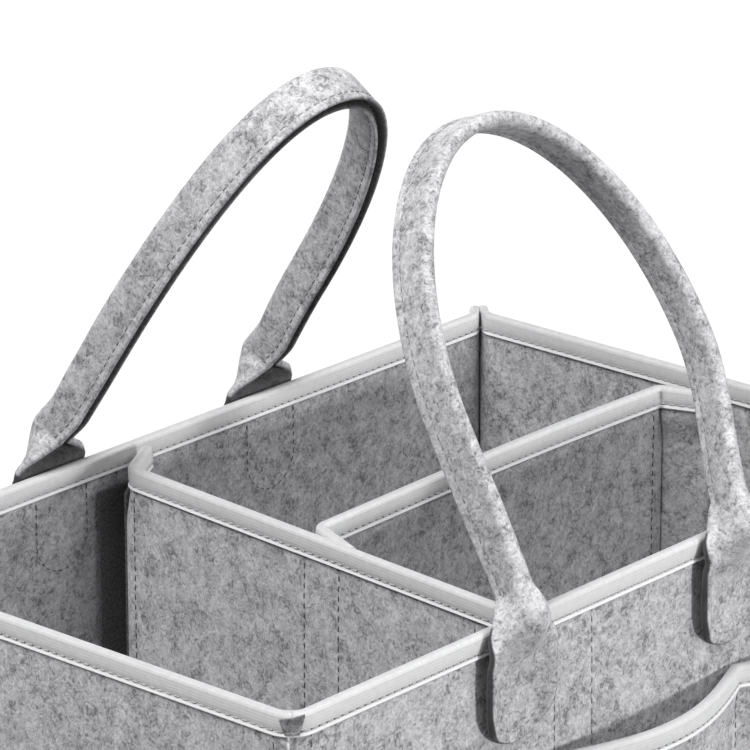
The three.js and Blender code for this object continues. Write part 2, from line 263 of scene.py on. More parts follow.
@dataclass(frozen=True)
class FeltFinish:
    """Needled felt of mixed dark and pale grey fibres."""

    name: str = "heather_felt"
    dark: Colour = (0.160, 0.160, 0.168)
    shade: Colour = (0.350, 0.349, 0.363)
    middle: Colour = (0.470, 0.468, 0.485)
    pale: Colour = (0.640, 0.638, 0.655)
    stops: tuple[float, ...] = (0.38, 0.455, 0.52, 0.62)  # tones that take those colours
    shut_in: Colour = (0.020, 0.020, 0.021)  # colour of the painted shade where a fold keeps the light out or a tab's cut edge is in shade
    clumps: Grain = Grain(130.0, 2.0, 0.8, tone=0.3)
    strands: Grain = Grain(380.0, 3.0, 1.5, tone=0.44, relief=0.7)
    fibres: Grain = Grain(820.0, 2.0, 1.2, tone=0.26, relief=0.5)
    relief: float = 0.5 * MM
    bump: float = 0.55
    roughness: float = 0.95
    sheen: float = 0.15
    sheen_roughness: float = 0.6
    specular: float = 0.2

    def material(self) -> bpy.types.Material:
        """Builds the felt from three sizes of fibre, with shade painted in where a mesh marks it.

        Returns:
            The material.
        """
        surface = Surface(self.name)
        nodes = surface.nodes
        at = nodes.object_place()
        clumps = self.clumps.wire(nodes, at)
        strands = self.strands.wire(nodes, at)
        fibres = self.fibres.wire(nodes, at)
        tone = strands * self.strands.tone + fibres * self.fibres.tone + clumps * self.clumps.tone
        felt = nodes.ramp(tone, list(zip(self.stops, (self.dark, self.shade, self.middle, self.pale))))
        # the mesh's mark of painted shade, which takes the felt towards a near-black colour
        inner = nodes.wire("ShaderNodeAttribute", {"attribute_name": PAINTED_SHADE}, output="Fac")
        height = strands * self.strands.relief + fibres * self.fibres.relief
        return surface.dress(nodes.mix(inner, felt, self.shut_in), height, self.bump, self.relief, {
            "Roughness": self.roughness,
            "Sheen Weight": self.sheen,
            "Sheen Roughness": self.sheen_roughness,
            "Specular IOR Level": self.specular,
        })


@dataclass(frozen=True)
class TapeFinish:
    """Woven binding tape with faint ribs along it, drawn in at its stitch row above a lip, with painted shade in
    the stitch groove and on its top fold and a painted highlight on the lip.
    """

    name: str = "ribbed_tape"
    valley: Colour = (0.300, 0.300, 0.306)
    ridge: Colour = (0.780, 0.780, 0.786)
    brightest: float = 0.9  # tone that takes the ridge's colour
    plain: float = 0.46  # tone of the bare tape
    lip: float = 1.1 * MM  # the painted highlight along each lower edge
    lip_end: float = 1.4  # where the painted highlight has faded, as a multiple of it
    lip_tone: float = 0.3
    groove: float = 0.5 * MM  # half the width of the painted shade in the sewn groove
    groove_tone: float = 0.3
    crown: float = 2.6 * MM  # half the width of the painted shade on the top fold
    crown_tone: float = 0.3
    rib: float = 1.25 * MM
    rib_tone: float = 0.07
    rib_relief: float = 0.7
    weft: float = 0.55 * MM
    weft_tone: float = 0.05
    weft_relief: float = 0.3
    drift: Grain = Grain(260.0, tone=0.9)  # how the ribs waver
    wear: Grain = Grain(420.0, 3.0, tone=0.28)
    relief: float = 0.22 * MM
    bump: float = 0.22
    roughness: float = 0.75
    sheen: float = 0.1
    specular: float = 0.3

    def material(self) -> bpy.types.Material:
        """Builds the tape from its own UV map, in metres along and across it.

        Returns:
            The material.
        """
        surface = Surface(self.name)
        nodes = surface.nodes
        at = nodes.object_place()
        uv = nodes.wire("ShaderNodeUVMap", {"uv_map": TAPE_UV})
        split = nodes.add("ShaderNodeSeparateXYZ", None, {0: uv})
        along, across = (Wire(nodes, split.outputs[i]) for i in (0, 1))
        around = float(lengths_along(TAPE.outline())[-1])
        margin = nodes.math("MINIMUM", across, around - across)
        lip = nodes.wire("ShaderNodeMapRange", None, {
            "Value": margin, "From Min": self.lip, "From Max": self.lip_end * self.lip,
            "To Min": 1.0, "To Max": 0.0,
        })
        groove = nodes.bell((margin - (TAPE.drop - TAPE.sewn)) * (1.0 / self.groove))
        crown = nodes.bell((across - around / 2) * (1.0 / self.crown))
        drift = self.drift.wire(nodes, at) * self.drift.tone
        ribs = nodes.wave(across * (2 * math.pi / self.rib) + drift)
        wefts = nodes.wave(along * (2 * math.pi / self.weft))
        weave = ribs * self.rib_tone + wefts * self.weft_tone + self.wear.wire(nodes, at) * self.wear.tone
        # painted highlight on the lips, painted shade in the stitch groove and on the top fold
        tone = weave + lip * self.lip_tone - groove * self.groove_tone - crown * self.crown_tone + self.plain
        colour = nodes.ramp(tone, [(0.0, self.valley), (self.brightest, self.ridge)])
        height = ribs * self.rib_relief + wefts * self.weft_relief
        return surface.dress(colour, height, self.bump, self.relief, {
            "Roughness": self.roughness,
            "Sheen Weight": self.sheen,
            "Specular IOR Level": self.specular,
        })


@dataclass(frozen=True)
class YarnFinish:
    """Thread, needle holes or the pile of hook-and-loop tape."""

    name: str
    dark: Colour
    pale: Colour
    grain: float = 0.5 * MM
    relief: float = 0.1 * MM
    roughness: float = 0.8
    curl: float = 0.5
    stops: tuple[float, float] = (0.35, 0.65)  # tones that take the two colours
    bump: float = 0.6

    def material(self) -> bpy.types.Material:
        """Builds the yarn from two tones of fine grain.

        Returns:
            The material.
        """
        surface = Surface(self.name)
        nodes = surface.nodes
        grain = Grain(1.0 / self.grain, curl=self.curl).wire(nodes, nodes.object_place())
        colour = nodes.ramp(grain, list(zip(self.stops, (self.dark, self.pale))))
        return surface.dress(colour, grain, self.bump, self.relief, {"Roughness": self.roughness})


# felt painted in shade: a darker copy of the felt, for the bare ends at the pressed corner
SHADED_SEAM_FELT = FeltFinish("seam_felt", (0.07, 0.07, 0.073), (0.14, 0.14, 0.145), (0.22, 0.22, 0.227),
                       (0.36, 0.36, 0.37))
PALE_THREAD = YarnFinish("pale_thread", (0.60, 0.60, 0.605), (0.80, 0.80, 0.805))
TAPE_THREAD = YarnFinish("tape_thread", (0.34, 0.34, 0.345), (0.50, 0.50, 0.505))
# grey thread, darkened with the painted shade of the rows that sink into the felt
SHADED_GREY_THREAD = YarnFinish("grey_thread", (0.06, 0.06, 0.062), (0.13, 0.13, 0.135))
FELT_THREAD = YarnFinish("felt_thread", (0.20, 0.20, 0.206), (0.32, 0.32, 0.33))
# dark beads of painted shade that stand for the needle holes
NEEDLE_HOLE = YarnFinish("needle_hole", (0.05, 0.05, 0.052), (0.12, 0.12, 0.125), roughness=1.0)
# hook-and-loop pile, darkened with painted shade for the shadow between the flaps and the walls
HOOK_PILE_AND_SHADE = YarnFinish("hook_pile", (0.05, 0.05, 0.052), (0.16, 0.16, 0.165), 0.9 * MM, 0.6 * MM, 0.6)


@dataclass
class Finishes:
    """The materials, made once."""

    felt: bpy.types.Material
    seam_felt: bpy.types.Material
    tape: bpy.types.Material
    pale_thread: bpy.types.Material
    tape_thread: bpy.types.Material
    grey_thread: bpy.types.Material
    felt_thread: bpy.types.Material
    needle_hole: bpy.types.Material
    hook_pile: bpy.types.Material

    @classmethod
    def make(cls) -> "Finishes":
        """Makes every material, in the order of the fields."""
        kinds = (FeltFinish(), SHADED_SEAM_FELT, TapeFinish(), PALE_THREAD, TAPE_THREAD, SHADED_GREY_THREAD, FELT_THREAD,
                 NEEDLE_HOLE, HOOK_PILE_AND_SHADE)
        return cls(*(kind.material() for kind in kinds))


# Meshes


def unit(vectors: Grid) -> Grid:
    """Vectors of the same directions and unit length."""
    return vectors / np.linalg.norm(vectors, axis=-1, keepdims=True)


def smoothstep(value: Grid | float, low: float, high: float) -> Grid:
    """Smooth rise from 0 at low to 1 at high."""
    share = np.clip((np.asarray(value, float) - low) / (high - low), 0.0, 1.0)
    return share * share * (3.0 - 2.0 * share)


def bezier(points: Sequence[Sequence[float]], steps: int) -> Grid:
    """Points along a cubic Bezier curve.

    Args:
        points: The curve's two ends, with its two handles between them.
        steps: How many points to give.

    Returns:
        The points, both ends included.
    """
    t = np.linspace(0.0, 1.0, steps)[:, None]
    a, b, c, d = (np.asarray(p, float) for p in points)
    return (1 - t) ** 3 * a + 3 * t * (1 - t) ** 2 * b + 3 * t * t * (1 - t) * c + t ** 3 * d


def lengths_along(path: Grid) -> Grid:
    """Distance from the start of a path to each of its points."""
    return np.concatenate([[0.0], np.cumsum(np.linalg.norm(np.diff(path, axis=0), axis=1))])


def left_of(path: Grid) -> Grid:
    """Unit vectors to the left of a plan path."""
    along = unit(np.gradient(path, axis=0))
    return np.stack([-along[:, 1], along[:, 0]], axis=1)


def along_path(path: Grid, across: Grid, out: float, height: float) -> Grid:
    """Line at one height beside a plan path."""
    plan = path + across * out
    return np.column_stack([plan, np.full(len(plan), height)])


def raised(plan: Grid, heights: Grid) -> Grid:
    """Grid of points from a grid of plan points and the height of each of its rows."""
    return np.concatenate([plan, np.repeat(heights[:, None, None], plan.shape[1], axis=1)], axis=2)


def rounded_path(corners: Sequence[Grid], radii: Sequence[float], counts: Sequence[int]) -> Grid:
    """Plan line through corners with each inner corner rounded by an arc.

    Args:
        corners: The line's corners.
        radii: Radius of each arc.
        counts: How many steps each straight takes.

    Returns:
        Points of the line.
    """
    arcs = [[corners[0]]]
    for before, corner, after, radius in zip(corners, corners[1:], corners[2:], radii):
        back, on = unit(before - corner), unit(after - corner)
        half = math.acos(float(np.clip(np.dot(back, on), -1.0, 1.0))) / 2
        centre = corner + unit(back + on) * radius / math.sin(half)
        first = corner + back * radius / math.tan(half) - centre
        last = corner + on * radius / math.tan(half) - centre
        arcs.append([centre + unit(first * (1 - share) + last * share) * radius
                     for share in np.linspace(0.0, 1.0, ARC_STEPS)])
    arcs.append([corners[-1]])
    line = [np.array(arcs[0])]
    for arc, on, count in zip(arcs, arcs[1:], counts):
        line.append(arc[-1] + np.linspace(0.0, 1.0, count + 1)[1:, None] * (on[0] - arc[-1]))
        if len(on) > 1:
            line.append(np.array(on[1:]))
    return np.concatenate(line)


def quads(rows: int, cols: int, first: int) -> list[tuple[int, int, int, int]]:
    """Faces of a grid of vertices.

    Args:
        rows: Rows of vertices.
        cols: Vertices in a row.
        first: Number of the grid's first vertex.

    Returns:
        Vertex numbers of each face.
    """
    starts = (first + r * cols + c for r in range(rows - 1) for c in range(cols - 1))
    return [(a, a + 1, a + 1 + cols, a + cols) for a in starts]


def add_object(name: str, data: bpy.types.ID) -> bpy.types.Object:
    """Puts a new object into the scene, at the origin.

    Args:
        name: The object's name.
        data: Its mesh, light or camera.

    Returns:
        The object.
    """
    piece = bpy.data.objects.new(name, data)
    bpy.context.scene.collection.objects.link(piece)
    return piece


def new_piece(name: str, vertices: Grid, faces: Sequence[Sequence[int]], material: bpy.types.Material) -> bpy.types.Object:
    """Makes a smooth closed mesh object at the origin, with its faces pointing out.

    Args:
        name: The piece's name.
        vertices: Points in metres in the part's frame.
        faces: Vertex numbers of each face.
        material: The piece's finish.

    Returns:
        The object, in the scene.
    """
    mesh = bpy.data.meshes.new(name)
    mesh.from_pydata(np.asarray(vertices, float).tolist(), [], [tuple(int(i) for i in f) for f in faces])
    shape = bmesh.new()
    shape.from_mesh(mesh)
    bmesh.ops.recalc_face_normals(shape, faces=shape.faces)
    shape.to_mesh(mesh)
    shape.free()
    mesh.polygons.foreach_set("use_smooth", [True] * len(mesh.polygons))
    mesh.materials.append(material)
    piece = add_object(name, mesh)
    return piece


def grid_normals(mid: Grid) -> Grid:
    """Unit normals of a grid of points."""
    return unit(np.cross(np.gradient(mid, axis=1), np.gradient(mid, axis=0)))


def edge_angles() -> Grid:
    """Angle of each ring of points round a cut edge, from the panel's first face."""
    return math.pi * np.arange(1, EDGE_RINGS + 1) / (EDGE_RINGS + 1)


def border_of(rows: int, cols: int) -> Grid:
    """Numbers of a grid's border points, in order round it."""
    number = np.arange(rows * cols).reshape(rows, cols)
    return np.concatenate([number[0, :-1], number[:-1, -1], number[-1, :0:-1], number[:0:-1, 0]])


def felt_panel(name: str, mid: Grid, material: bpy.types.Material, half: Grid | float = HALF_FELT,
               edge: float = FELT_EDGE) -> bpy.types.Object:
    """Makes a panel of felt with rounded cut edges.

    Args:
        name: The piece's name.
        mid: Grid of points on the panel's middle surface.
        material: The piece's finish.
        half: Half the thickness, at each point or all over.
        edge: How far the rounded edge stands out from the grid's border.

    Returns:
        The panel: its first face's points, its second face's, and the rings round its edge.
    """
    rows, cols = mid.shape[:2]
    count = rows * cols
    normal = grid_normals(mid).reshape(-1, 3)
    flat = mid.reshape(-1, 3)
    halves = np.broadcast_to(half, (rows, cols)).reshape(-1, 1)
    border = border_of(rows, cols)
    tangent = np.roll(flat[border], -1, axis=0) - np.roll(flat[border], 1, axis=0)
    outwards = unit(np.cross(tangent, normal[border]))
    probe = cols // 2
    if np.dot(outwards[probe], mid[0, probe] - mid[1, probe]) < 0:
        outwards = -outwards
    rings = [flat[border] + normal[border] * halves[border] * math.cos(angle)
             + outwards * edge * math.sin(angle) for angle in edge_angles()]
    vertices = np.concatenate([flat + normal * halves, flat - normal * halves, *rings])
    faces = quads(rows, cols, 0) + quads(rows, cols, count)
    around = np.arange(len(border))
    loops = [border, *(2 * count + k * len(border) + around for k in range(EDGE_RINGS)), border + count]
    for near, far in zip(loops, loops[1:]):
        faces += zip(near, np.roll(near, -1), np.roll(far, -1), far)
    return new_piece(name, vertices, faces, material)


@dataclass(frozen=True)
class TapeSection:
    """Section of a tape folded over a felt edge and drawn in where it is sewn."""

    drop: float = 9.0 * MM  # reach down each face
    thickness: float = 0.5 * MM
    swell: float = 2.35 * MM  # from the middle of the felt to the tape's face
    sewn: float = 7.2 * MM  # stitch row below the top
    sewn_half: float = 1.85 * MM  # from the middle of the felt to the tape's face at the stitch row
    lip_half: float = 2.5 * MM  # the same at the lip below the stitch row
    seam_half: float = 1.6 * MM  # the same on the inner face of a pinched corner seam
    shoulder: float = 1.9 * MM  # height of the rounded top
    shoulder_power: float = 0.8
    shoulder_steps: int = 6
    lip_bends: tuple[tuple[float, float], ...] = (  # past lip_half, and up from the lower edge
        (-0.1 * MM, 0.0), (0.0, 0.25 * MM), (-0.12 * MM, 0.6 * MM))
    row_bends: tuple[tuple[float, float], ...] = (  # past sewn_half, and up from the stitch row
        (0.1 * MM, -0.4 * MM), (0.0, 0.0), (0.15 * MM, 0.4 * MM))
    swell_bends: tuple[tuple[float, float], ...] = (  # past swell, and up from the stitch row
        (-0.08 * MM, 1.5 * MM), (0.0, 2.8 * MM))

    @property
    def thread(self) -> float:
        """From the middle of the felt to the middle of a thread in the stitch row."""
        return self.sewn_half + STITCH_LIFT

    def outline(self) -> Grid:
        """Outer skin of the tape.

        Returns:
            (across, up) points from one lower edge over the top to the other.
        """
        side = []
        for half, height, bends in ((self.lip_half, self.drop, self.lip_bends),
                                    (self.sewn_half, self.sewn, self.row_bends),
                                    (self.swell, self.sewn, self.swell_bends)):
            side += [(half + past, up - height) for past, up in bends]
        for angle in np.linspace(math.pi / 2, 0.0, self.shoulder_steps):
            across = self.swell * math.sin(angle) ** self.shoulder_power
            side.append((across, self.shoulder * (math.cos(angle) - 1.0)))
        return np.array(side + [(-across, up) for across, up in reversed(side[:-1])])

    def lining(self) -> Grid:
        """Inner skin, point by point under the outer one."""
        outer = self.outline()
        return outer + self.thickness * left_of(outer)


TAPE = TapeSection()


def bind_edge(name: str, path: Grid, across: Grid, top: float, material: bpy.types.Material,
              pinch: Grid | None = None) -> bpy.types.Object:
    """Folds tape over a felt edge.

    Args:
        name: The piece's name.
        path: Plan points of the felt's middle line.
        across: Unit plan vectors to the first side of the felt at each point.
        top: Height of the tape's top.
        material: The tape's finish.
        pinch: How far the second side is pressed flat at each point, from 0 to 1.

    Returns:
        The tape.
    """
    count, width = len(path), len(TAPE.outline())
    skins = []
    for skin in (TAPE.outline(), TAPE.lining()):
        out = np.repeat(skin[None, :, 0], count, axis=0)
        if pinch is not None:
            out = out + pinch[:, None] * (np.maximum(out, -TAPE.seam_half) - out)
        plan = path[:, None, :] + across[:, None, :] * out[..., None]
        height = np.repeat(top + skin[None, :, 1, None], count, axis=0)
        skins.append(np.concatenate([plan, height], axis=2).reshape(-1, 3))
    size = count * width
    faces = quads(count, width, 0) + quads(count, width, size)
    number = np.arange(size).reshape(count, width)
    for edge in (number[:, 0], number[:, -1], number[0], number[-1]):
        faces += zip(edge[:-1], edge[1:], edge[1:] + size, edge[:-1] + size)
    piece = new_piece(name, np.concatenate(skins), faces, material)
    along = np.repeat(lengths_along(path), width)
    around = np.tile(lengths_along(TAPE.outline()), count)
    uv = np.tile(np.stack([along, around], axis=1), (2, 1))
    layer = piece.data.uv_layers.new(name=TAPE_UV)
    corners = np.zeros(len(piece.data.loops), int)
    piece.data.loops.foreach_get("vertex_index", corners)
    layer.data.foreach_set("uv", uv[corners].ravel())
    return piece


# Sewing


@dataclass(frozen=True)
class Stitch:
    """One kind of stitch: how far apart its beads lie and how large each is."""

    spacing: float
    lead: float  # from the start of the row to the first bead
    length: float
    width: float


TAPE_STITCH = Stitch(4.0 * MM, 1.0 * MM, 3.3 * MM, 0.75 * MM)
TAPE_HOLE = Stitch(4.0 * MM, 3.0 * MM, 0.9 * MM, 0.62 * MM)
FELT_STITCH = Stitch(4.0 * MM, 1.0 * MM, 3.0 * MM, 0.6 * MM)
TAB_STITCH = Stitch(3.6 * MM, 1.0 * MM, 2.6 * MM, 0.5 * MM)
CORNER_STITCH = Stitch(4.0 * MM, 2.0 * MM, 4.6 * MM, 1.1 * MM)


class SewingTree:
    """Geometry nodes that lay beads of thread along seam lines."""

    INPUTS = {"Spacing": "spacing", "Lead": "lead", "Length": "length", "Width": "width"}
    SEGMENTS = 6
    RINGS = 4
    LONGEST_ROW = 10.0
    TRIM_START = 4  # a Trim Curve node's inputs for lengths, by number
    TRIM_END = 5

    def __init__(self) -> None:
        """Builds the tree with its named inputs."""
        self.tree = bpy.data.node_groups.new("sewing", "GeometryNodeTree")
        sockets = self.tree.interface
        sockets.new_socket("Lines", in_out="INPUT", socket_type="NodeSocketGeometry")
        for name in self.INPUTS:
            sockets.new_socket(name, in_out="INPUT", socket_type="NodeSocketFloat")
        sockets.new_socket("Thread", in_out="INPUT", socket_type="NodeSocketMaterial")
        sockets.new_socket("Stitches", in_out="OUTPUT", socket_type="NodeSocketGeometry")
        nodes = Nodes(self.tree)
        given = nodes.add("NodeGroupInput")
        size = {name: Wire(nodes, given.outputs[name]) for name in (*self.INPUTS, "Lines", "Thread")}
        curve = nodes.wire("GeometryNodeMeshToCurve", None, {0: size["Lines"]})
        span = {"Curve": curve, self.TRIM_START: size["Lead"], self.TRIM_END: self.LONGEST_ROW}
        trimmed = nodes.wire("GeometryNodeTrimCurve", {"mode": "LENGTH"}, span)
        places = nodes.add("GeometryNodeCurveToPoints", {"mode": "LENGTH"},
                           {"Curve": trimmed, "Length": size["Spacing"]})
        turn = nodes.wire("FunctionNodeAlignRotationToVector", {"axis": "X"},
                          {"Vector": Wire(nodes, places.outputs["Tangent"])})
        scale = nodes.wire("ShaderNodeCombineXYZ", None,
                           {0: size["Length"], 1: size["Width"], 2: size["Width"]})
        bead = nodes.wire("GeometryNodeMeshUVSphere", None,
                          {"Segments": self.SEGMENTS, "Rings": self.RINGS, "Radius": 0.5})
        smooth = nodes.wire("GeometryNodeSetShadeSmooth", None, {0: bead})
        laid = nodes.wire("GeometryNodeInstanceOnPoints", None,
                          {"Points": Wire(nodes, places.outputs["Points"]), "Instance": smooth,
                           "Rotation": turn, "Scale": scale})
        real = nodes.wire("GeometryNodeRealizeInstances", None, {0: laid})
        dressed = nodes.wire("GeometryNodeSetMaterial", None, {"Geometry": real, "Material": size["Thread"]})
        nodes.add("NodeGroupOutput", None, {0: dressed})

    def sew(self, name: str, rows: Sequence[Grid], stitch: Stitch,
            thread: bpy.types.Material) -> bpy.types.Object:
        """Lays beads along rows.

        Args:
            name: The piece's name.
            rows: Points of each row.
            stitch: The kind of stitch.
            thread: The thread's finish.

        Returns:
            The beads as one plain mesh.
        """
        points = np.concatenate(rows)
        starts = np.cumsum([0] + [len(row) for row in rows])
        edges = [(i, i + 1) for a, b in zip(starts, starts[1:]) for i in range(a, b - 1)]
        lines = bpy.data.meshes.new(name)
        lines.from_pydata(points.tolist(), edges, [])
        piece = add_object(name, lines)
        modifier = piece.modifiers.new("sewing", "NODES")
        modifier.node_group = self.tree
        values = {label: getattr(stitch, attribute) for label, attribute in self.INPUTS.items()}
        values["Thread"] = thread
        for item in self.tree.interface.items_tree:
            if item.in_out == "INPUT" and item.name in values:
                modifier[item.identifier] = values[item.name]
        evaluated = piece.evaluated_get(bpy.context.evaluated_depsgraph_get())
        mesh = bpy.data.meshes.new_from_object(evaluated)
        piece.modifiers.clear()
        piece.data = mesh
        return piece


@dataclass
class Workshop:
    """What every sub-assembly is made with."""

    finishes: Finishes
    sewing: SewingTree

    def bind(self, name: str, path: Grid, across: Grid, top: float, pinch: Grid | None = None,
             spans: tuple[slice, slice] = (slice(None), slice(None))) -> list[bpy.types.Object]:
        """Binds a felt edge with tape, sewn on through needle holes along both its faces.

        Args:
            name: The bound edge's name, which the frame's binding has too.
            path: Plan points of the felt's middle line.
            across: Unit plan vectors to the first side of the felt at each point.
            top: Height of the tape's top.
            pinch: How far the second side is pressed flat at each point.
            spans: The points that the stitch row takes in on each side.

        Returns:
            The tape, its stitches and its needle holes.
        """
        tape = bind_edge(f"{name}_tape", path, across, top, self.finishes.tape, pinch)
        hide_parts(f"{name}_binding")
        rows = [along_path(path[span], across[span], sign * TAPE.thread, top - TAPE.sewn)
                for span, sign in zip(spans, (1, -1))]
        return [
            tape,
            self.sewing.sew(f"{name}_stitches", rows, TAPE_STITCH, self.finishes.tape_thread),
            self.sewing.sew(f"{name}_needle_holes", rows, TAPE_HOLE, self.finishes.needle_hole),
        ]

    def sew_felt(self, name: str, rows: Sequence[Grid],
                 thread: bpy.types.Material | None = None) -> bpy.types.Object:
        """Stitches sunk into felt, in grey thread darkened with painted shade or in a thread that is given."""
        return self.sewing.sew(f"{name}_stitches", rows, FELT_STITCH, thread or self.finishes.grey_thread)


def ride_all(pieces: Sequence[bpy.types.Object], body: str) -> None:
    """Makes pieces ride on a body and reports them.

    Args:
        pieces: The pieces.
        body: The body's name in the frame.
    """
    for piece in pieces:
        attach(piece, body)
        log.info("%s rides on %s", piece.name, body)


# Box


class Side(Enum):
    """The four walls, by how many quarter turns each stands from the front one."""

    FRONT = 0
    RIGHT = 1
    BACK = 2
    LEFT = 3

    @property
    def label(self) -> str:
        """The wall's name in the frame."""
        return self.name.lower()


class Corner(Enum):
    """How a wall's end meets its neighbour: pinched out into a seam, or pressed round."""

    PINCHED = "pinched"
    PRESSED = "pressed"


@dataclass
class Wall:
    """One felt wall with its rim tape, its ends pinched out along the diagonals or pressed round."""

    side: Side
    half: float  # from the middle to the outer corner
    stand: float  # from the middle of the box to the middle of the felt
    height: float  # floor to the top of the rim tape
    start: Corner = Corner.PINCHED
    end: Corner = Corner.PINCHED
    seam_half: float = 1.62 * MM  # from the corner's diagonal to the middle of the felt
    seam_reach: float = 4.7 * MM  # flange past the outer corner
    seam_run: float = 9.0 * MM  # from the outer corner to where the felt starts to bend
    seam_lead: float = 5.0 * MM  # how far the bend's curve follows the wall
    seam_tail: float = 6.0 * MM  # how far it follows the diagonal
    round_radius: float = 8.5 * MM  # middle of the felt at a pressed corner
    round_gap: float = 0.45 * MM  # from the corner's diagonal to the felt's edge
    belly: float = 1.3 * MM
    tape_to_felt: float = 0.8 * MM  # top of the tape to the top of the felt
    straight_steps: int = 60
    bend_steps: int = 18
    rows: int = 44
    strip_row_steps: int = 30
    seam_row: float = 3.0 * MM  # stitch row from the end of the flange
    round_row: float = 6.2 * MM  # stitch row from a pressed corner
    floor_row: float = 3.5 * MM  # stitch row above the floor

    def end_curve(self, corner: Corner, short: float) -> Grid:
        """Plan of one end.

        Args:
            corner: How the end is made.
            short: How far a pressed end stops before the corner's diagonal.

        Returns:
            (along, out) points from the straight wall to the end.
        """
        slope = math.sqrt(0.5)
        if corner is Corner.PRESSED:
            centre = np.array([self.half - HALF_FELT - self.round_radius, -self.round_radius])
            turn = np.linspace(0.0, math.pi / 4 - short / self.round_radius, self.bend_steps)
            return centre + self.round_radius * np.column_stack([np.sin(turn), np.cos(turn)])
        diagonal, aside = np.array([slope, slope]), np.array([-slope, slope])
        tip = np.array([self.half, HALF_FELT]) + diagonal * self.seam_reach + aside * self.seam_half
        begin = np.array([self.half - self.seam_run, 0.0])
        return bezier([begin, begin + (self.seam_lead, 0.0), tip - diagonal * self.seam_tail, tip],
                      self.bend_steps)

    def plan(self, short: float = 0.0) -> Grid:
        """Plan of the felt's middle line.

        Args:
            short: How far pressed ends stop before their corners' diagonals.

        Returns:
            (along, out) points from one end to the other.
        """
        finish = self.end_curve(self.end, short)
        begin = self.end_curve(self.start, short)[::-1] * (-1.0, 1.0)
        share = np.linspace(0.0, 1.0, self.straight_steps)[1:-1, None]
        return np.concatenate([begin, begin[-1] + share * (finish[0] - begin[-1]), finish])

    def place(self, along: Grid | float, out: Grid | float) -> Grid:
        """Plan points of the frame.

        Args:
            along: Distances along the wall from its middle.
            out: Distances out from the middle of its felt.

        Returns:
            (x, y) points.
        """
        x, y = np.broadcast_arrays(np.asarray(along, float), -(self.stand + np.asarray(out, float)))
        for _ in range(self.side.value):
            x, y = -y, x
        return np.stack([x, y], axis=-1)

    def line(self, local: Grid) -> tuple[Grid, Grid]:
        """Turns a plan line from the wall's own axes to the frame's.

        Args:
            local: (along, out) points.

        Returns:
            (x, y) points and the outward unit vector at each.
        """
        path = self.place(local[:, 0], local[:, 1])
        ahead = local + left_of(local)
        return path, self.place(ahead[:, 0], ahead[:, 1]) - path

    def bulge(self, along: Grid | float, height: Grid) -> Grid:
        """How far the felt bellies out at a place."""
        share = np.clip(np.abs(along) / self.half, 0.0, 1.0)
        return self.belly * np.cos(share * math.pi / 2) * np.sin(math.pi * np.asarray(height) / self.height)

    def strip_row(self, along: float, low: float, high: float) -> Grid:
        """Upright stitch row on the outer face.

        Args:
            along: Its place along the wall.
            low: Height of its foot.
            high: Height of its top.

        Returns:
            Points of the row.
        """
        heights = np.linspace(low, high, self.strip_row_steps)
        plan = self.place(along, FELT_FACE + self.bulge(along, heights))
        return np.column_stack([plan, heights])

    def pinch(self, local: Grid) -> Grid:
        """Presses the tape flat inside the corner seams.

        Args:
            local: (along, out) points of the wall's plan.

        Returns:
            How far it is pressed at each point, from 0 to 1.
        """
        run = lengths_along(local)
        pinch = np.zeros(len(local))
        for corner, distance in ((self.start, run), (self.end, run[-1] - run)):
            if corner is Corner.PINCHED:
                pinch = np.maximum(pinch, 1.0 - smoothstep(distance, self.seam_tail, 2 * self.seam_tail))
        return pinch

    def build(self, shop: Workshop) -> None:
        """Makes the wall's felt, tape and stitches.

        Args:
            shop: What the pieces are made with.
        """
        felt = self.build_felt(shop)
        local = self.plan()
        path, across = self.line(local)
        half_bend = self.bend_steps // 2
        tape = shop.bind(f"{self.side.label}_rim", path, across, self.height, self.pinch(local),
                         (slice(1, -1), slice(half_bend, -half_bend)))
        seams = shop.sew_felt(f"{self.side.label}_wall_seam", self.seam_rows(path, across))
        ride_all([felt, *tape, seams], CADDY)

    def build_felt(self, shop: Workshop) -> bpy.types.Object:
        """Makes the felt panel.

        Args:
            shop: What it is made with.

        Returns:
            The panel.
        """
        label = self.side.label
        local = self.plan(self.round_gap + FELT_EDGE)
        path, across = self.line(local)
        heights = np.linspace(FELT_EDGE, self.height - self.tape_to_felt - FELT_EDGE, self.rows)
        bulge = self.bulge(local[None, :, 0], heights[:, None])
        plan = path[None] + across[None] * bulge[..., None]
        felt = felt_panel(f"{label}_wall_felt", raised(plan, heights), shop.finishes.felt)
        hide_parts(f"{label}_wall")
        lengths_along(local)[-1]
        return felt

    def seam_rows(self, path: Grid, across: Grid) -> list[Grid]:
        """Upright stitch rows beside the corners and the row along the floor.

        Args:
            path: Plan points of the felt's middle line.
            across: The outward unit vector at each.

        Returns:
            Points of each row.
        """
        run = lengths_along(path)
        upright = np.linspace(self.floor_row, self.height - TAPE.drop, self.rows)
        rows = []
        for corner, sign in ((self.start, 1.0), (self.end, -1.0)):
            back = self.seam_row if corner is Corner.PINCHED else self.round_row
            i = np.searchsorted(run, back if sign > 0 else run[-1] - back)
            rows.append(np.column_stack([np.tile(path[i] + across[i] * FELT_FACE, (self.rows, 1)), upright]))
        inner = slice(self.bend_steps, -self.bend_steps)
        rows.append(along_path(path[inner], across[inner], FELT_FACE, self.floor_row))
        return rows


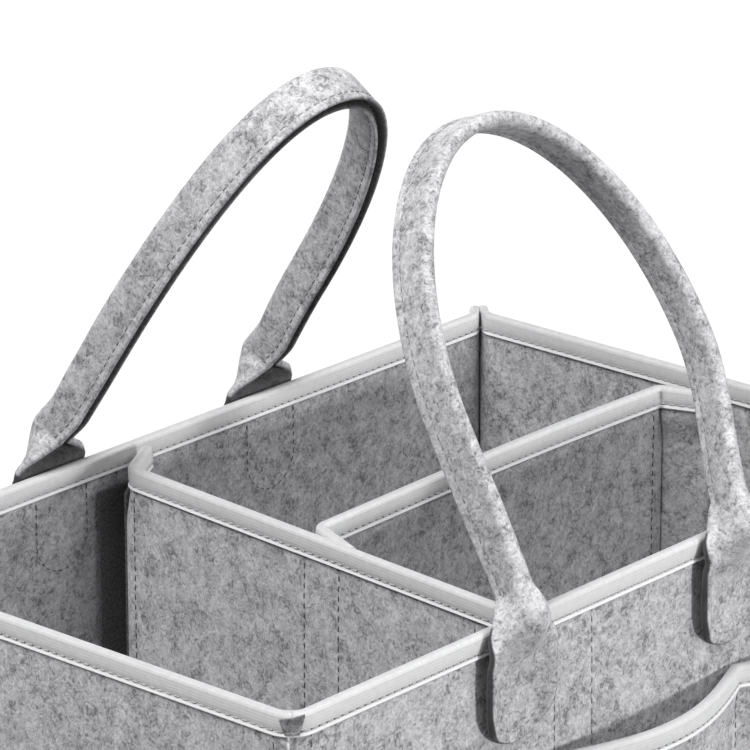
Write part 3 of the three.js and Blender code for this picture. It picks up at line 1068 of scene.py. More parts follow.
@dataclass
class RoundCorner:
    """The pressed corner: bare felt ends in felt painted in shade, which show through a gap in the tape, and a
    pale seam thread.
    """

    wall: Wall  # the front one, which starts at this corner
    width: float = 8.9 * MM
    low: float = 7.9 * MM  # foot of the gap below the rim
    high: float = 1.0 * MM  # its top below the rim
    slant: float = 1.6 * MM
    foot: float = 0.55  # share of the width at the gap's foot
    proud: float = 0.1 * MM  # of the tape's face
    half: float = 0.35 * MM  # half the thickness that shows
    steps: int = 14
    thread_aside: float = 1.5 * MM

    def build(self, shop: Workshop) -> None:
        """Makes the felt ends and the thread.

        Args:
            shop: What the pieces are made with.
        """
        wall = self.wall
        radius = wall.round_radius + TAPE.swell + self.proud
        centre = wall.place(-(wall.half - HALF_FELT - wall.round_radius), -wall.round_radius)
        aside = np.linspace(-self.width / 2, self.width / 2, self.steps)
        top = self.high + self.slant * (aside / self.width + 0.5)
        mid = np.zeros((self.steps, self.steps, 3))
        for r, rise in enumerate(np.linspace(0.0, 1.0, self.steps)):
            turn = aside / radius * (self.foot + (1.0 - self.foot) * rise)
            ray = np.stack([-np.cos(math.pi / 4 - turn), -np.cos(math.pi / 4 + turn)], axis=1)
            mid[r, :, :2] = centre + ray * radius
            mid[r, :, 2] = wall.height - (self.low + (top - self.low) * rise)
        ends = felt_panel("round_corner_felt_ends", mid, shop.finishes.seam_felt, self.half, self.half)
        reach = wall.round_radius + HALF_FELT
        angle = math.pi / 4 + self.thread_aside / reach
        foot = centre - reach * np.array([math.sin(angle), math.cos(angle)])
        heights = np.linspace(wall.floor_row, wall.height - TAPE.drop, self.steps)
        row = np.column_stack([np.tile(foot, (self.steps, 1)), heights])
        thread = shop.sewing.sew("round_corner_thread", [row], CORNER_STITCH, shop.finishes.pale_thread)
        ride_all([ends, thread], CADDY)


@dataclass
class Base:
    """Felt base panel inside the walls."""

    steps: int = 24

    def build(self, shop: Workshop) -> None:
        """Makes the base's felt.

        Args:
            shop: What it is made with.
        """
        low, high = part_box("base_panel")
        x = np.linspace(low.x + FELT_EDGE, high.x - FELT_EDGE, self.steps)
        y = np.linspace(low.y + FELT_EDGE, high.y - FELT_EDGE, self.steps)
        across, along = np.meshgrid(x, y)
        mid = np.stack([across, along, np.full_like(across, (low.z + high.z) / 2)], axis=-1)
        felt = felt_panel("base_felt", mid, shop.finishes.felt)
        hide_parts("base_panel")
        ride_all([felt], CADDY)


# Handles


@dataclass
class Handle:
    """One felt strip: a flat tab sewn to the wall at each end and a loop folded in half between them."""

    wall: Wall
    crown: float  # top of the loop from the hinge line
    belly: float  # half the loop's widest part
    belly_height: float
    lean: float  # degrees that the loop leans in over the box
    shift: float  # middle of the two tabs from the middle of the wall
    aside: float  # middle of the belly from the middle of the tabs
    sway: float  # the same for the crown
    spacing: float  # between the middles of the tabs
    fullness: float  # how square the arch is
    strip_width: float
    neck: float  # the strip's width just above the tabs
    roll: float  # degrees that the folded strip turns towards the middle of the loop
    fold_low: float  # along the strip from the hinge line, where the spine starts to fold
    fold_high: float  # where the open edges meet
    fold_power: float
    inset: float  # how far the open edges come in over the rim
    inset_low: float  # along the strip, where they start to come in
    inset_high: float  # where they have come in
    neck_high: float = 80.0 * MM  # where the strip has its full width
    roll_high: float = 40.0 * MM  # where it has its full roll
    tab_width: float = 38.0 * MM
    tab_reach: float = 47.0 * MM  # below the rim
    tab_lift: float = 4.0 * MM  # free margins of the tab off the wall
    tab_sewn_in: float = 5.0 * MM  # stitch line from the tab's edge
    tip_turn: float = 6.0  # degrees round the tab's end, where its first row lies
    slit: float = 0.2 * MM  # between the two halves of the folded strip
    sewn_in: float = 2.8 * MM  # stitch row from the strip's edge
    flare: float = 0.8 * MM  # how far each open edge spreads past the stitch row
    flare_power: float = 1.5
    pinch: float = 0.25  # share of the thickness that the stitch row takes away
    pinch_width: float = 1.1 * MM
    thinned: float = 0.4  # share of the thickness that the open edges lose
    thinned_by: float = 1.5  # where they have lost it, as a multiple of fold_high
    soft_zone: float = 6.5 * MM  # half the width that bends at the strip's foot, where the fold is soft
    soft_high: float = 45.0 * MM  # along the strip, where the fold is sharp
    least_fold: float = 0.001  # angle that stands for a flat strip
    fold_shade: float = 0.85  # painted shade on the face that the fold shuts in
    edge_shade: float = 0.95  # painted shade on the cut edges of the tabs
    bend_low: float = -5.0 * MM  # along the strip from the hinge line, where it starts to lean
    bend_high: float = 9.0 * MM
    blend_past: float = 2.0 * MM  # how much further the joint bends it
    end_run: float = 30.0 * MM  # closely worked length at each end of the loop
    end_rows: int = 36
    tab_rows: int = 26
    loop_rows: int = 170
    curve_steps: tuple[int, int] = (200, 300)  # of a leg and of half the arch
    outline_steps: tuple[int, int] = (12, 24)  # of a side and of the round end of a tab's stitch line
    flat_columns: int = 6  # points across each flat half of the strip, and across each half of its bend
    edge_column: float = 0.35  # first points in from the edge, as a share of sewn_in
    beside_row: float = 0.8  # points beside a stitch row, as a share of pinch_width
    row_column: int = 3  # points from the strip's edge to a stitch row

    def __post_init__(self) -> None:
        """Takes the hinge line from the frame."""
        joint = next(j for j in frame["joints"] if j["child"] == self.label)
        _, self.hinge_y, self.hinge_z = joint["pos_m"]
        self.outward = math.copysign(1.0, self.hinge_y)
        self.over_wall = abs(self.hinge_y) - self.wall.stand - HALF_FELT
        self.foot_drop = self.tab_reach + self.hinge_z - self.wall.height
        self.half_slit = (FELT + self.slit) / 2
        self.bend_zone = self.half_slit * math.pi / 2

    @property
    def label(self) -> str:
        """The name of the handle and of its body in the frame."""
        return f"{self.wall.side.label}_handle"

    def loop(self) -> tuple[Grid, Grid]:
        """Middle line of the loop.

        Returns:
            Points as (x, rise), close together at both ends, and their distances from the first.
        """
        foot, rise = self.spacing / 2, self.crown - self.belly_height
        leg_steps, arch_steps = self.curve_steps
        parts = []
        for side in (-1, 1):
            widest = self.aside + side * self.belly
            leg = [(side * foot, 0.0), (side * foot, self.belly_height / 3),
                   (widest, self.belly_height * 2 / 3), (widest, self.belly_height)]
            arch = [leg[-1], (widest, self.belly_height + self.fullness * rise),
                    (self.sway + side * self.fullness * self.belly, self.crown), (self.sway, self.crown)]
            half = np.concatenate([bezier(leg, leg_steps), bezier(arch, arch_steps)[1:]])
            parts.append(half if side < 0 else half[::-1][1:])
        line = np.concatenate(parts)
        run = lengths_along(line)
        near = np.linspace(0.0, self.end_run, self.end_rows)
        middle = np.linspace(self.end_run, run[-1] - self.end_run, self.loop_rows)[1:-1]
        at = np.concatenate([near, middle, run[-1] - near[::-1]])
        return np.column_stack([np.interp(at, run, line[:, k]) for k in (0, 1)]), at

    def place(self, x: Grid | float, inward: Grid | float, rise: Grid | float) -> Grid:
        """Points of the frame for a place in the strip's own plane.

        Args:
            x: Along the wall, from the handle's middle.
            inward: Out of the strip's plane, towards the box.
            rise: Along the strip from the hinge line.

        Returns:
            Points of the frame, leaning as the handle leans at rest.
        """
        x, inward, rise = np.broadcast_arrays(*(np.asarray(v, float) for v in (x, inward, rise)))
        angle = math.radians(self.lean) * smoothstep(rise, self.bend_low, self.bend_high)
        towards = inward * np.cos(angle) + rise * np.sin(angle)
        up = rise * np.cos(angle) - inward * np.sin(angle)
        return np.stack([x + self.shift, self.outward * (abs(self.hinge_y) - towards),
                         self.hinge_z + up], axis=-1)

    def tab_inward(self, across: Grid, rise: Grid) -> Grid:
        """How far a tab lies in from the line over the tape, less the lift of its free margins.

        Args:
            across: Distances across the tab from its middle.
            rise: Distances along the strip from the hinge line.

        Returns:
            Distances towards the box.
        """
        step = self.over_wall - SEAT - HALF_FELT
        tape_foot = self.wall.height - TAPE.drop - self.hinge_z
        seated = step * (1.0 - smoothstep(rise, tape_foot - FELT, tape_foot))
        free = smoothstep(np.abs(across), self.tab_width / 2 - 2 * self.tab_sewn_in, self.tab_width / 2)
        return seated - self.tab_lift * free * (1.0 - smoothstep(rise, tape_foot, 0.0))

    def columns(self, edge: float) -> Grid:
        """Distances across the strip, with a line of points on each stitch row.

        Args:
            edge: Half of the strip's width.

        Returns:
            Distances from the spine, from one edge to the other.
        """
        row, beside = edge - self.sewn_in, self.pinch_width * self.beside_row
        outer = [edge, edge - self.edge_column * self.sewn_in, row + beside, row, row - beside]
        inner = np.linspace(row - 2 * self.pinch_width, self.bend_zone, self.flat_columns)
        spine = np.linspace(self.bend_zone, 0.0, self.flat_columns)[1:-1]
        half = np.concatenate([outer, inner, spine])
        return np.concatenate([-half, [0.0], half[::-1]])

    def closed(self, edge: float, zone: float) -> float:
        """Angle that brings the open edges together.

        Args:
            edge: Half of the strip's width.
            zone: Half of the width that bends.

        Returns:
            The angle that each half is folded by.
        """
        angles = np.linspace(math.pi / 2, math.pi, FINE_STEPS)
        gap = np.sin(angles) * zone / angles + (edge - zone) * np.cos(angles)
        return float(angles[np.argmin(np.abs(gap - self.half_slit))])

    def section(self, share: float, edge: float, rise: float) -> tuple[Grid, Grid]:
        """Middle line of the strip's section.

        Args:
            share: How far it is folded, from 0 to 1.
            edge: Half of the strip's width.
            rise: Distance along the strip from the hinge line.

        Returns:
            Points across the strip as (aside, inward) arrays, measured inwards from its open edges.
        """
        sharp = smoothstep(rise, 0.0, self.soft_high)
        zone = float(self.soft_zone + (self.bend_zone - self.soft_zone) * sharp)
        fold = max(share * self.closed(edge, zone), self.least_fold)
        curl = fold / zone
        u = self.columns(edge)
        held = np.clip(u, -zone, zone)
        angle = curl * held
        rest = u - held
        aside = np.sin(angle) / curl + rest * np.cos(angle)
        inward = (1 - np.cos(angle)) / curl + np.abs(rest) * np.sin(np.abs(angle))
        margin = np.clip((np.abs(u) - edge + self.sewn_in) / self.sewn_in, 0.0, 1.0)
        aside = aside + np.sign(u) * self.flare * margin ** self.flare_power * math.sin(fold)
        return aside, inward - inward[-1]

    def fold(self, rise: Grid) -> Grid:
        """How far the strip is folded, from 0 to 1, at a distance along it from the hinge line."""
        share = np.clip((rise - self.fold_low) / (self.fold_high - self.fold_low), 0.0, 1.0)
        return share ** self.fold_power

    def width(self, from_end: Grid) -> Grid:
        """Width of the strip.

        Args:
            from_end: Distances along it from the hinge line.

        Returns:
            The width at each.
        """
        closed = smoothstep(from_end, 0.0, self.fold_high)
        full = smoothstep(from_end, self.fold_high, self.neck_high)
        necked = self.tab_width + (self.neck - self.tab_width) * closed
        return necked + (self.strip_width - self.neck) * full

    def tab(self) -> list[tuple[Grid, Grid, Grid]]:
        """Rows of a tab from its round end up to the hinge line.

        Returns:
            (across, inward, rise) arrays of each row.
        """
        half, reach = self.tab_width / 2 - FELT_EDGE, self.foot_drop - FELT_EDGE
        angles = np.linspace(math.radians(self.tip_turn), math.pi / 2, self.tab_rows // 2)
        round_end = zip(-reach + half * (1 - np.cos(angles)), np.sin(angles))
        straight = ((rise, 1.0) for rise in np.linspace(half - reach, 0.0, self.tab_rows // 2 + 1)[1:-1])
        rows = []
        for rise, share in (*round_end, *straight):
            across, inward = self.section(float(self.fold(rise)), half, float(rise))
            across = across * share
            rows.append((across, inward + self.tab_inward(across, rise), np.full_like(across, rise)))
        return rows

    def strip(self) -> tuple[Grid, Grid]:
        """Middle surface of the strip from the end of one tab to the end of the other.

        Returns:
            The grid of points and each row's distance along the loop from its nearer end.
        """
        foot, tab = self.spacing / 2, self.tab()
        rows = [self.place(across - foot, inward, rise) for across, inward, rise in tab]
        line, run = self.loop()
        from_end = np.minimum(run, run[-1] - run)
        tangent = unit(np.gradient(line, axis=0))
        halves = self.width(from_end) / 2 - FELT_EDGE
        inset = self.inset * smoothstep(from_end, self.inset_low, self.inset_high)
        roll = math.radians(self.roll) * smoothstep(from_end, 0.0, self.roll_high)
        places = zip(line, tangent, self.fold(from_end), halves, inset, roll, from_end)
        for at, along, share, half, reach, turn, end in places:
            aside, inward = self.section(float(share), float(half), float(end))
            middle = inward.mean()
            deep = inward - middle
            aside, inward = (aside * math.cos(turn) - deep * math.sin(turn),
                             middle + deep * math.cos(turn) + aside * math.sin(turn))
            rows.append(self.place(at[0] + aside * along[1], inward + reach, at[1] - aside * along[0]))
        rows += [self.place(foot - across, inward, rise) for across, inward, rise in reversed(tab)]
        flat = np.zeros(len(tab))
        return np.array(rows), np.concatenate([flat, from_end, flat])

    def thickness(self, from_end: Grid) -> Grid:
        """Thickness of the strip, drawn in along the stitch rows of the folded loop.

        Args:
            from_end: Each row's distance along the loop, which is nothing on the tabs.

        Returns:
            Half the thickness at each point.
        """
        edge = self.strip_width / 2 - FELT_EDGE
        aside = (np.abs(self.columns(edge)) - edge + self.sewn_in) / self.pinch_width
        sewn = smoothstep(from_end, self.fold_high, self.thinned_by * self.fold_high)
        at_edge = smoothstep(aside, 0.0, self.sewn_in / self.pinch_width)
        lost = self.pinch * np.exp(-aside ** 2) + self.thinned * at_edge
        return HALF_FELT * (1.0 - sewn[:, None] * lost[None, :])

    def tab_outline(self) -> tuple[Grid, Grid]:
        """Stitch line round a tab.

        Returns:
            Its points as (across, rise) arrays.
        """
        side_steps, arc_steps = self.outline_steps
        half = self.tab_width / 2 - self.tab_sewn_in
        top, turn = -TAPE.drop - FELT, self.tab_width / 2 - self.foot_drop
        arc = np.linspace(math.pi, 2 * math.pi, arc_steps)
        down = np.linspace(top, turn, side_steps + 1)[:-1]
        across = np.concatenate([np.full(side_steps, -half), half * np.cos(arc), np.full(side_steps, half)])
        return across, np.concatenate([down, turn + half * np.sin(arc), down[::-1]])

    def thread_rows(self, mid: Grid, half: Grid, sewn: Grid) -> list[Grid]:
        """Stitch rows along the loop's open edges, on both faces of both halves.

        Args:
            mid: The strip's middle surface.
            half: Half its thickness at each point.
            sewn: Numbers of the rows of points that are sewn.

        Returns:
            Points of each stitch row.
        """
        normal = grid_normals(mid)
        rows = []
        for column in (self.row_column, mid.shape[1] - 1 - self.row_column):
            for sign in (-1, 1):
                lift = half[:, column, None] + STITCH_LIFT
                rows.append((mid[:, column] + sign * normal[:, column] * lift)[sewn])
        return rows

    def build(self, shop: Workshop) -> None:
        """Makes the strip, its stitches and the stitches round the tabs.

        Args:
            shop: What the pieces are made with.
        """
        mid, from_end = self.strip()
        half = self.thickness(from_end)
        strip = felt_panel(f"{self.label}_strip", mid, shop.finishes.felt, half)
        self.mark_inner_face(strip, mid, from_end)
        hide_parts(f"{self.label}_loop", f"{self.label}_left_tab", f"{self.label}_right_tab")
        length = lengths_along(mid[:, mid.shape[1] // 2])[-1]
        area = (length - 2 * self.foot_drop) * self.strip_width + 2 * self.foot_drop * self.tab_width
        f"{self.wall.side.label}_wall_felt"
        rows = self.thread_rows(mid, half, np.flatnonzero(from_end > self.fold_high))
        thread = shop.sew_felt(self.label, rows, shop.finishes.felt_thread)
        start = self.place(0.0, 0.0, self.bend_low)
        end = self.place(0.0, 0.0, self.bend_high + self.blend_past)
        for piece in (strip, thread):
            self.label
            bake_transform(piece)
            log.info("%s bends between %s and %s", piece.name, CADDY, self.label)
        self.sew_tabs(shop)

    def mark_inner_face(self, strip: bpy.types.Object, mid: Grid, from_end: Grid) -> None:
        """Marks where shade is painted into the felt: the face that the fold shuts in and the cut edges of the
        tabs.

        Args:
            strip: The strip's panel.
            mid: Its middle surface.
            from_end: Each row's distance along the loop, which is nothing on the tabs.
        """
        rows, cols = mid.shape[:2]
        crown, spine = rows // 2, cols // 2
        side = np.sign(np.dot(grid_normals(mid)[crown, spine], mid[crown, 0] - mid[crown, spine]))
        on_tab = np.where(from_end[border_of(rows, cols) // cols] > 0.0, 0.0, 1.0)
        folded = self.fold_shade * side * np.cos(edge_angles())[:, None]
        edges = np.maximum(folded, self.edge_shade * on_tab[None])
        face = np.full(rows * cols, self.fold_shade * side)
        # painted shade at each point of the panel
        layer = strip.data.attributes.new(PAINTED_SHADE, "FLOAT", "POINT")
        layer.data.foreach_set("value", np.clip(np.concatenate([face, -face, edges.ravel()]), 0.0, 1.0))

    def sew_tabs(self, shop: Workshop) -> None:
        """Makes the stitch lines round the tabs, outside on the tabs and inside on the wall.

        Args:
            shop: What the pieces are made with.
        """
        across, rise = self.tab_outline()
        face = self.tab_inward(across, rise) - FELT_FACE
        flat = rise < self.fold_low
        outer, inner = [], []
        for foot in (-self.spacing / 2, self.spacing / 2):
            outer.append(self.place(foot + across, face, rise)[flat])
            along = -self.outward * (foot + across + self.shift)
            inner.append(np.column_stack([self.wall.place(along, -FELT_FACE), self.hinge_z + rise]))
        sew, name = shop.sewing.sew, f"{self.label}_tab"
        ride_all([sew(f"{name}_stitches", outer, TAB_STITCH, shop.finishes.felt_thread),
                  sew(f"{name}_inner_stitches", inner, TAB_STITCH, shop.finishes.grey_thread)], CADDY)


# Pockets


@dataclass
class Pocket:
    """Felt pocket panel sewn to a long wall in bays that gape at the top."""

    wall: Wall
    drop: float = 57.0 * MM  # rim to the bound top edge
    foot: float = 6.0 * MM
    end: float = 12.0 * MM  # from the corner to the outer seam
    seam: float = 58.5 * MM  # inner seams from the middle
    gape: float = 16.0 * MM
    sewn_stand: float = 1.75 * MM  # wall to the middle of the felt where it is sewn
    tape_stand: float = 2.75 * MM  # the same under the tape
    bay_steps: int = 36
    rows: int = 40
    seam_in: float = 2.5 * MM  # outer stitch rows from the panel's ends

    @property
    def top(self) -> float:
        """Height of the tape's top."""
        return self.wall.height - self.drop

    def seams(self) -> list[float]:
        """Places of the seams along the wall."""
        last = self.wall.half - self.end
        return [-last, -self.seam, self.seam, last]

    def along(self) -> Grid:
        """Places along the wall at which the panel is worked out.

        Returns:
            Distances from the middle of the wall, closer together in the narrower bays.
        """
        seams = self.seams()
        bays = [np.linspace(a, b, self.bay_steps)[:-1] for a, b in zip(seams, seams[1:])]
        return np.concatenate([*bays, seams[-1:]])

    def out(self, along: Grid, height: Grid) -> Grid:
        """How far the pocket stands out.

        Args:
            along: Places along the wall.
            height: Heights above the floor.

        Returns:
            Distances from the middle of the wall's felt to the middle of the pocket's.
        """
        seams = np.array(self.seams())
        bay = np.clip(np.searchsorted(seams, along, side="right") - 1, 0, len(seams) - 2)
        share = (along - seams[bay]) / (seams[bay + 1] - seams[bay])
        rise = np.clip((height - self.foot) / (self.top - self.foot), 0.0, 1.0)
        tape_foot = self.top - TAPE.drop
        taped = smoothstep(height, tape_foot - 2 * FELT, tape_foot)
        stand = self.sewn_stand + (self.tape_stand - self.sewn_stand) * taped
        bulge = self.gape * np.sin(math.pi * share) * np.sin(math.pi / 2 * rise)
        return HALF_FELT + stand + bulge + self.wall.bulge(along, height)

    def plan(self, along: Grid, height: Grid, off: float = 0.0) -> Grid:
        """Plan points on the pocket's middle surface, or some way off it."""
        return self.wall.place(along, self.out(along, height) + off)

    def seam_rows(self, along: Grid) -> list[Grid]:
        """Stitch rows up the seams and along the foot.

        Args:
            along: Places along the wall for the row at the foot.

        Returns:
            Points of each row.
        """
        first, second, third, last = self.seams()
        low = self.foot + self.seam_in
        upright = np.linspace(low, self.top - TAPE.drop, self.rows)
        places = [(np.full_like(upright, place), upright)
                  for place in (first + self.seam_in, second, third, last - self.seam_in)]
        places.append((along, np.full_like(along, low)))
        return [np.column_stack([self.plan(side, height, FELT_FACE), height]) for side, height in places]

    def build(self, shop: Workshop) -> None:
        """Makes the panel, its tape and its stitches.

        Args:
            shop: What the pieces are made with.
        """
        label = self.wall.side.label
        along = self.along()
        highest = self.top - self.wall.tape_to_felt - FELT_EDGE
        heights = np.linspace(self.foot + FELT_EDGE, highest, self.rows)
        plan = self.plan(along[None, :], heights[:, None])
        felt = felt_panel(f"{label}_pocket_felt", raised(plan, heights), shop.finishes.felt)
        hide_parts(f"{label}_pocket")
        path = self.plan(along, np.full_like(along, self.top))
        flat = (lengths_along(path)[-1], self.top - self.foot)
        across = left_of(path)
        facing = self.wall.place(0.0, 1.0) - self.wall.place(0.0, 0.0)
        across = across * math.copysign(1.0, float(np.dot(across[len(across) // 2], facing)))
        tape = shop.bind(f"{label}_pocket", path, across, self.top)
        seams = shop.sew_felt(f"{label}_pocket_seam", self.seam_rows(along))
        ride_all([felt, *tape, seams], CADDY)


# Dividers


class Face(Enum):
    """The two faces of a divider, seen along its plan line."""

    LEFT = 1.0
    RIGHT = -1.0


@dataclass(frozen=True)
class FlapSize:
    """How a divider's flap lies at one height."""

    length: float
    stand: float  # how far the bend stands in from the free edge
    edge_out: float  # from the face behind the flap to the free edge


@dataclass
class Flap:
    """A divider's flap, from its bend to the free edge that its hook strip holds to a face."""

    face: Grid  # plan point of the face behind it, opposite the bend
    along: Grid  # along that face, from the bend to the free edge
    out: Grid  # out of that face
    size: FlapSize

    @property
    def bend(self) -> Grid:
        """Plan point of the bend."""
        return self.face + self.out * (self.size.edge_out + self.size.stand)

    @property
    def edge(self) -> Grid:
        """Plan point of the free edge."""
        reach = math.sqrt(self.size.length ** 2 - self.size.stand ** 2)
        return self.face + self.out * self.size.edge_out + self.along * reach

    def at(self, back: float) -> Grid:
        """Plan point some way back from the free edge."""
        return self.edge + unit(self.bend - self.edge) * back


Flaps = tuple[Flap, Flap]


@dataclass
class Divider:
    """Felt divider with a return flap at each end, bound along its top and held to the walls below it."""

    label: str
    body: str
    high: Flaps  # its flaps at the top
    held: Flaps  # the same where hook strips hold them
    strips: tuple[str, str]  # what the frame calls the ends with hook strips
    radii: tuple[float, float]  # of its bends
    top: float
    foot: float
    row_off: float  # stitch rows from its bends
    bow: float = 0.0
    tilt: float = 0.0  # how much the bow loses towards its first end
    crease: float = 0.0  # share of the thickness that a bend takes away
    crease_width: float = 0.8 * MM
    tape_to_felt: float = 0.8 * MM  # top of the tape to the top of the felt
    held_from: float = 9.0 * MM  # below the top, where the felt starts to settle to its held line
    held_by: float = 26.0 * MM
    steps: tuple[int, int, int] = (6, 56, 6)
    rows: int = 48

    def path(self, flaps: Flaps) -> Grid:
        """Plan of the felt's middle line, bowed between its two bends.

        Args:
            flaps: The flaps at one height.

        Returns:
            Points from one free edge to the other.
        """
        first, last = (flap.bend for flap in flaps)
        line = rounded_path([flaps[0].edge, first, last, flaps[1].edge], self.radii, self.steps)
        along = unit(last - first)
        share = np.clip((line - first) @ along / np.linalg.norm(last - first), 0.0, 1.0)
        aside = np.array([-along[1], along[0]])
        shape = self.bow * np.sin(math.pi * share) - self.tilt * np.sin(math.pi * share) * (1 - share)
        return line + aside * shape[:, None]

    def surface(self, heights: Grid) -> Grid:
        """Middle surface of the felt, which settles from its top line to its held one.

        Args:
            heights: Height of each row.

        Returns:
            Grid of points.
        """
        high, low = self.path(self.high), self.path(self.held)
        settled = smoothstep(self.top - heights, self.held_from, self.held_by)[:, None, None]
        return raised(high[None] * (1.0 - settled) + low[None] * settled, heights)

    def thickness(self) -> Grid:
        """Thickness of the felt, drawn in where it is creased at the bends.

        Returns:
            Half the thickness at each point.
        """
        line = self.path(self.held)
        run = lengths_along(line)
        lost = np.zeros(len(line))
        for flap in self.held:
            off = run - run[np.argmin(np.linalg.norm(line - flap.bend, axis=1))]
            lost = lost + self.crease * np.exp(-(off / self.crease_width) ** 2)
        return np.repeat(HALF_FELT * (1.0 - lost)[None], self.rows, axis=0)

    def upright(self, near: Grid, face: Face, low: float, high: float) -> Grid:
        """Upright line on a face.

        Args:
            near: Plan point that the line passes.
            face: Which face it lies on.
            low: Height of its foot.
            high: Height of its top.

        Returns:
            Points of the line.
        """
        line = []
        for row in self.surface(np.linspace(low, high, self.rows)):
            run = lengths_along(row)
            fine = np.linspace(0.0, run[-1], FINE_STEPS)
            plan = np.column_stack([np.interp(fine, run, row[:, axis]) for axis in (0, 1)])
            mark = np.argmin(np.linalg.norm(plan - near, axis=1))
            off = left_of(plan)[mark] * face.value * FELT_FACE
            line.append((*(plan[mark] + off), row[0, 2]))
        return np.array(line)

    def strip_rows(self, free: Face) -> list[Grid]:
        """Stitch rows beside the bends, and on the flaps where hook strips are sewn on.

        Args:
            free: The flaps' faces away from the walls.

        Returns:
            Points of each row.
        """
        low, high = self.foot + FELT, self.top - TAPE.drop
        first, last = (flap.bend for flap in self.held)
        along = unit(last - first)
        rows = []
        for bend in (first + along * self.row_off, last - along * self.row_off):
            rows += [self.upright(bend, face, low, high) for face in Face]
        for flap, name in zip(self.held, self.strips):
            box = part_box(f"{self.label}_{name}_hook_strip")
            rows += [self.upright(flap.at(back), free, box[0].z, box[1].z)
                     for back in (FELT, flap.size.length - 2 * FELT)]
        return rows

    def build(self, shop: Workshop, rows: Sequence[Grid]) -> None:
        """Makes the divider's felt, tape and stitches.

        Args:
            shop: What the pieces are made with.
            rows: Stitch rows on the divider's faces.
        """
        highest = self.top - self.tape_to_felt - FELT_EDGE
        mid = self.surface(np.linspace(self.foot + FELT_EDGE, highest, self.rows))
        felt = felt_panel(f"{self.label}_felt", mid, shop.finishes.felt, self.thickness())
        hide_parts(self.label)
        path = self.path(self.high)
        lengths_along(path)[-1]
        self.top - self.foot
        tape = shop.bind(self.label, path, left_of(path), self.top)
        ride_all([felt, *tape, shop.sew_felt(f"{self.label}_strip", rows)], self.body)


